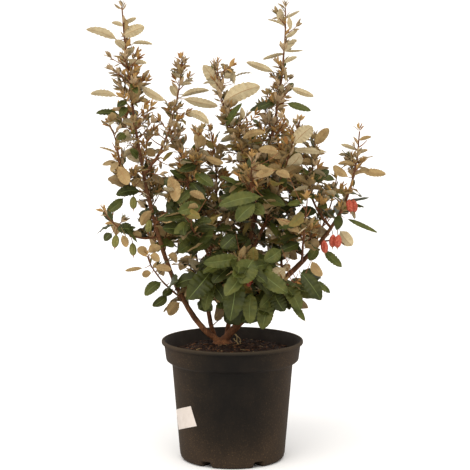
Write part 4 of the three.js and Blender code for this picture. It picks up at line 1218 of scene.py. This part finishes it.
def pot_profile():
    """Radius and height, from the middle of the underside round the outside to the middle of the floor."""
    collar_foot = POT_HEIGHT - COLLAR_DEPTH
    lip_foot = POT_HEIGHT - LIP_HEIGHT
    outside = [(0.5, 0), (30, 0), (60, 0), (78, 0), (82, 0), (86, 0)]
    outside += arc(BODY_FOOT_RADIUS - CORNER_RADIUS, CORNER_RADIUS, CORNER_RADIUS, -90, 0, 7)
    outside += [(BODY_FOOT_RADIUS + BODY_SLOPE * h, h) for h in (9.5, 12, 16, 40, 80, 120, 150, BODY_TOP - 4)]
    outside += [(BODY_TOP_RADIUS, BODY_TOP - 1), (BODY_TOP_RADIUS + 1, BODY_TOP + 0.6)]
    outside += [(COLLAR_FOOT_RADIUS - 3, collar_foot - 1.6), (COLLAR_FOOT_RADIUS - 0.8, collar_foot + 0.4)]
    outside += [(COLLAR_FOOT_RADIUS, collar_foot + 3)]
    outside += [(COLLAR_TOP_RADIUS - 0.4, lip_foot - 3), (COLLAR_TOP_RADIUS, lip_foot)]
    outside += arc(LIP_RADIUS - 2.2, lip_foot + 2.2, 2.2, -90, 0, 5)
    outside += arc(LIP_RADIUS - 2.8, POT_HEIGHT - 2.8, 2.8, 0, 90, 6)
    outside += arc(COLLAR_TOP_RADIUS + 1.2, POT_HEIGHT - 2.6, 2.6, 90, 180, 5)
    inside = [(COLLAR_TOP_RADIUS - WALL, POT_HEIGHT - 8), (COLLAR_FOOT_RADIUS - WALL, collar_foot)]
    inside += [(BODY_TOP_RADIUS - WALL, BODY_TOP), (BODY_FOOT_RADIUS - WALL, 20)]
    inside += [(BODY_FOOT_RADIUS - CORNER_RADIUS - WALL, 14), (60, POT_FLOOR + 1), (0.5, POT_FLOOR + 1)]
    return outside, inside


def make_pot():
    outside, inside = pot_profile()
    angles = full_turn(POT_SEGMENTS)
    from_notch = np.abs((angles * NOTCHES / (2 * math.pi)) % 1 - 0.5) * 2 * math.pi / NOTCHES
    # Notches lie between the feet, and one foot faces the front
    opening = 1 / (1 + np.exp((from_notch - NOTCH_HALF_ANGLE) / (NOTCH_EDGE / 4)))
    rings = []
    for index, (radius, height) in enumerate(outside + inside):
        reach = risen(radius, BODY_FOOT_RADIUS - NOTCH_LENGTH, 3)
        roof = NOTCH_HEIGHT if index < len(outside) else NOTCH_HEIGHT + WALL
        heights = np.where(height < roof, height + (roof - height) * opening * reach, height)
        out = 1 + 0.0012 * np.sin(angles * 2 + 0.6) * (height / POT_HEIGHT)
        rings.append(ring_at(angles - math.pi / 2, radius * out, heights))
    faces = ring_faces(len(rings), POT_SEGMENTS)
    sheaf = Sheaf()
    sheaf.add(np.concatenate(rings), faces, np.arange(len(faces)) >= (len(outside) - 2) * POT_SEGMENTS)
    # Painted light: the inside is the same black plastic painted lighter, standing in for the light that
    # reaches into the pot
    painted_light_inner = mottled("inner_plastic_painted_light", [(0.3, (46, 40, 35)), (0.7, (68, 60, 53))], 60, 0.5)
    pot = sheaf.make("nursery_pot", [pot_plastic(), painted_light_inner])
    pot.data.set_sharp_from_angle(angle=math.radians(50))
    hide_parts("pot")


def make_label():
    """A bare paper label that follows the pot's wall, with a faint ripple."""
    across, down = LABEL_GRID
    s, t = np.meshgrid(np.linspace(-0.5, 0.5, across), np.linspace(-0.5, 0.5, down), indexing="ij")
    s_mm = s * LABEL_SIZE[0]
    t_mm = t * LABEL_SIZE[1]
    run = s_mm * math.cos(LABEL_TILT) - t_mm * math.sin(LABEL_TILT)
    height = LABEL_HEIGHT + s_mm * math.sin(LABEL_TILT) + t_mm * math.cos(LABEL_TILT)
    wall = BODY_FOOT_RADIUS + BODY_SLOPE * height
    angle = -math.pi / 2 - LABEL_ANGLE + run / wall
    ripple = LABEL_RIPPLE * np.sin(s * 17 + 1) * np.sin(t * 13)
    sheets = [
        ring_at(angle, wall + proud + ripple, height).reshape(-1, 3)
        for proud in (LABEL_PROUD, LABEL_PROUD - LABEL_THICKNESS)]
    grid = np.arange(across * down).reshape(across, down)
    top = np.stack([grid[:-1, :-1], grid[1:, :-1], grid[1:, 1:], grid[:-1, 1:]], -1).reshape(-1, 4)
    loop = np.concatenate([grid[:, 0], grid[-1, 1:], grid[-2::-1, -1], grid[0, -2:0:-1]])
    nxt = np.roll(loop, -1)
    rim = np.stack([nxt, loop, loop + grid.size, nxt + grid.size], -1)
    sheaf = Sheaf()
    sheaf.add(np.concatenate(sheets), np.concatenate([top, top[:, ::-1] + grid.size, rim]))
    paper = mottled(
        "label_paper", [(0.3, (186, 176, 168)), (0.5, (202, 192, 184)), (0.75, (212, 204, 198))],
        60, 0.6, 1400, 0.0001)
    sheaf.make("bare_label", [paper])


# The soil


def soil_height(x, y):
    mound = np.interp(math.hypot(x, y), (0, SOIL_FLAT_RADIUS, SOIL_SHOULDER[0], SOIL_RADIUS),
                      (SOIL_TOP, SOIL_TOP - 0.5, SOIL_SHOULDER[1], SOIL_EDGE))
    lumps = sum(height * rough((x, y, level), length, seed) for height, level, length, seed in SOIL_LUMPS)
    return mound - SOIL_SUNK + lumps


def make_soil():
    angles = full_turn(SOIL_SEGMENTS)
    rings = [ring_at(angles, radius, 0) for radius in np.linspace(0.5, SOIL_RADIUS, SOIL_RINGS)]
    for ring in rings:
        ring[:, 2] = [soil_height(x, y) for x, y, _ in ring]
    rings.append(ring_at(angles, SOIL_RADIUS - 2, SOIL_EDGE - 6))
    rings.append(ring_at(angles, SOIL_NECK + 2, SOIL_EDGE - 10))
    rings.append(ring_at(angles, SOIL_NECK, SOIL_UNDERSIDE))
    rings.append(ring_at(angles, 0.5, SOIL_UNDERSIDE))
    stops = [(0.36, (11, 6, 4)), (0.5, (30, 17, 10)), (0.62, (62, 37, 22)), (0.72, (104, 66, 40))]
    dark = mottled("potting_mix", stops, 320, 0.82, 1300, 0.0016)
    sheaf = Sheaf()
    sheaf.add(np.concatenate(rings), ring_faces(len(rings), SOIL_SEGMENTS)[:, FLIPPED])
    soil = sheaf.make("potting_mix", [dark])
    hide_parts("soil")


def make_chips():
    """Bark chips, crumbs and bits of straw that lie half sunk in the soil."""
    bark_dark = mottled("chip_dark", [(0.35, (28, 16, 10)), (0.65, (62, 38, 23))], 300, 0.8)
    bark_light = mottled("chip_light", [(0.35, (66, 40, 24)), (0.65, (112, 76, 48))], 300, 0.75)
    straw = mottled("straw", [(0.35, (122, 100, 66)), (0.65, (160, 140, 100))], 300, 0.7)
    sheaf = Sheaf()
    picks = np.random.default_rng(11)
    for _ in range(CHIPS):
        radius = SOIL_RADIUS * 0.97 * math.sqrt(picks.random())
        angle = picks.random() * 2 * math.pi
        x, y = radius * math.cos(angle), radius * math.sin(angle)
        if math.hypot(x - BASE_X, y - BASE_Y) < BASE_CLEARANCE:
            continue
        kind = picks.choice(3, p=CHIP_KINDS)
        long_side = picks.uniform(*(CHIP_LENGTH if kind < 2 else STRAW_LENGTH))
        wide = long_side * picks.uniform(*CHIP_SHAPE) if kind < 2 else STRAW_WIDTH
        tall = picks.uniform(*CHIP_HEIGHT) if kind < 2 else STRAW_HEIGHT
        heading = picks.random() * math.pi
        lean = picks.uniform(-0.4, 0.4, 2)
        along = unit(np.array([math.cos(heading), math.sin(heading), lean[0]]))
        across = unit(np.cross(np.array([lean[1], -lean[1], 1.0]), along))
        line = np.array([along * s * long_side for s in (-0.5, -0.2, 0.15, 0.5)])
        line += np.array([x, y, soil_height(x, y) + tall * 0.3]) + picks.normal(0, 0.25, (4, 3))
        points, faces = tube_arrays(line, np.array([0.6, 1, 0.9, 0.5]) * wide / 2, 6)
        other = np.cross(along, across)
        points = points - np.outer((points - points.mean(0)) @ other, other) * (1 - min(1, tall / wide))
        points += picks.normal(0, 0.14, points.shape)
        sheaf.add(points, faces, kind)
    for start, end in STRAWS:
        line = np.linspace(np.array(start, float), np.array(end, float), 9)
        line[:, 0] += 1.8 * np.sin(np.linspace(0, 7, 9) + end[0])
        sheaf.add_tube(line, np.full(9, 0.9), 6, 2)
    chips = sheaf.make("bark_chips", [bark_dark, bark_light, straw])


# Floor, light and camera


def make_floor():
    bpy.ops.mesh.primitive_plane_add(size=FLOOR_SIZE, location=(0, 0, -0.0002))
    floor = bpy.context.object
    floor.name = "floor"
    look = Surface("pale_floor")
    tone = look.ramp(look.noise(3, 2), (0.3, (234, 235, 237)), (0.7, (237, 238, 240)))
    look.feed(look.shader, {"Base Color": tone, "Roughness": 0.9})
    floor.data.materials.append(look.material)


def make_light():
    scene = bpy.context.scene
    scene.world = bpy.data.worlds.new("studio")
    scene.world.use_nodes = True
    background = scene.world.node_tree.nodes["Background"]
    background.inputs[0].default_value = (*SKY_COLOUR, 1)
    background.inputs[1].default_value = SKY_STRENGTH
    scene.view_settings.view_transform = "Standard"
    sun = bpy.data.lights.new("softbox", "SUN")
    sun.energy = SUN_STRENGTH
    sun.angle = SUN_ANGLE
    sun.color = SUN_COLOUR
    holder = bpy.data.objects.new("softbox", sun)
    holder.rotation_euler = Vector(SUN_TO).to_track_quat("-Z", "Y").to_euler()
    scene.collection.objects.link(holder)


def make_camera():
    data = bpy.data.cameras.new("camera")
    data.lens = FOCAL_PIXELS / PHOTO_SIDE * SENSOR
    data.sensor_width = SENSOR
    camera = bpy.data.objects.new("camera", data)
    camera.location = CAMERA_PLACE
    camera.rotation_euler = (math.pi / 2 - CAMERA_PITCH, 0, 0)
    bpy.context.scene.collection.objects.link(camera)
    bpy.context.scene.camera = camera


# Everything is grown, then made into pieces

make_pot()
make_label()
make_soil()
make_chips()
make_limbs()
for index, name in enumerate(shoots):
    grow(name, index)
make_dead_twig()
stems = stem_sheaf.make("stems_and_twigs", [STEM_BARK, TWIG_SKIN])
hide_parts(*[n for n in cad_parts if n.startswith("foliage_")])
for kind in TINTS:
    make_leaves(kind)
# Ripe fruit: mottled red, with its palest patches a painted highlight scattered by the noise
ripe = mottled(
    "ripe_fruit", [(0.35, (126, 40, 28)), (0.52, (164, 70, 50)), (0.68, (200, 128, 100))],
    420, 0.4, 1500, 0.0003)
unripe = mottled(
    "unripe_fruit", [(0.35, (92, 94, 44)), (0.55, (124, 120, 62)), (0.7, (156, 142, 90))],
    420, 0.5, 1500, 0.0003)
withered = mottled("withered_flower", [(0.35, (108, 66, 38)), (0.65, (158, 108, 66))], 500, 0.7)
ripe_sheaf.make("ripe_fruits", [ripe, withered])
unripe_sheaf.make("unripe_fruits", [unripe, withered])
make_floor()
make_light()
make_camera()
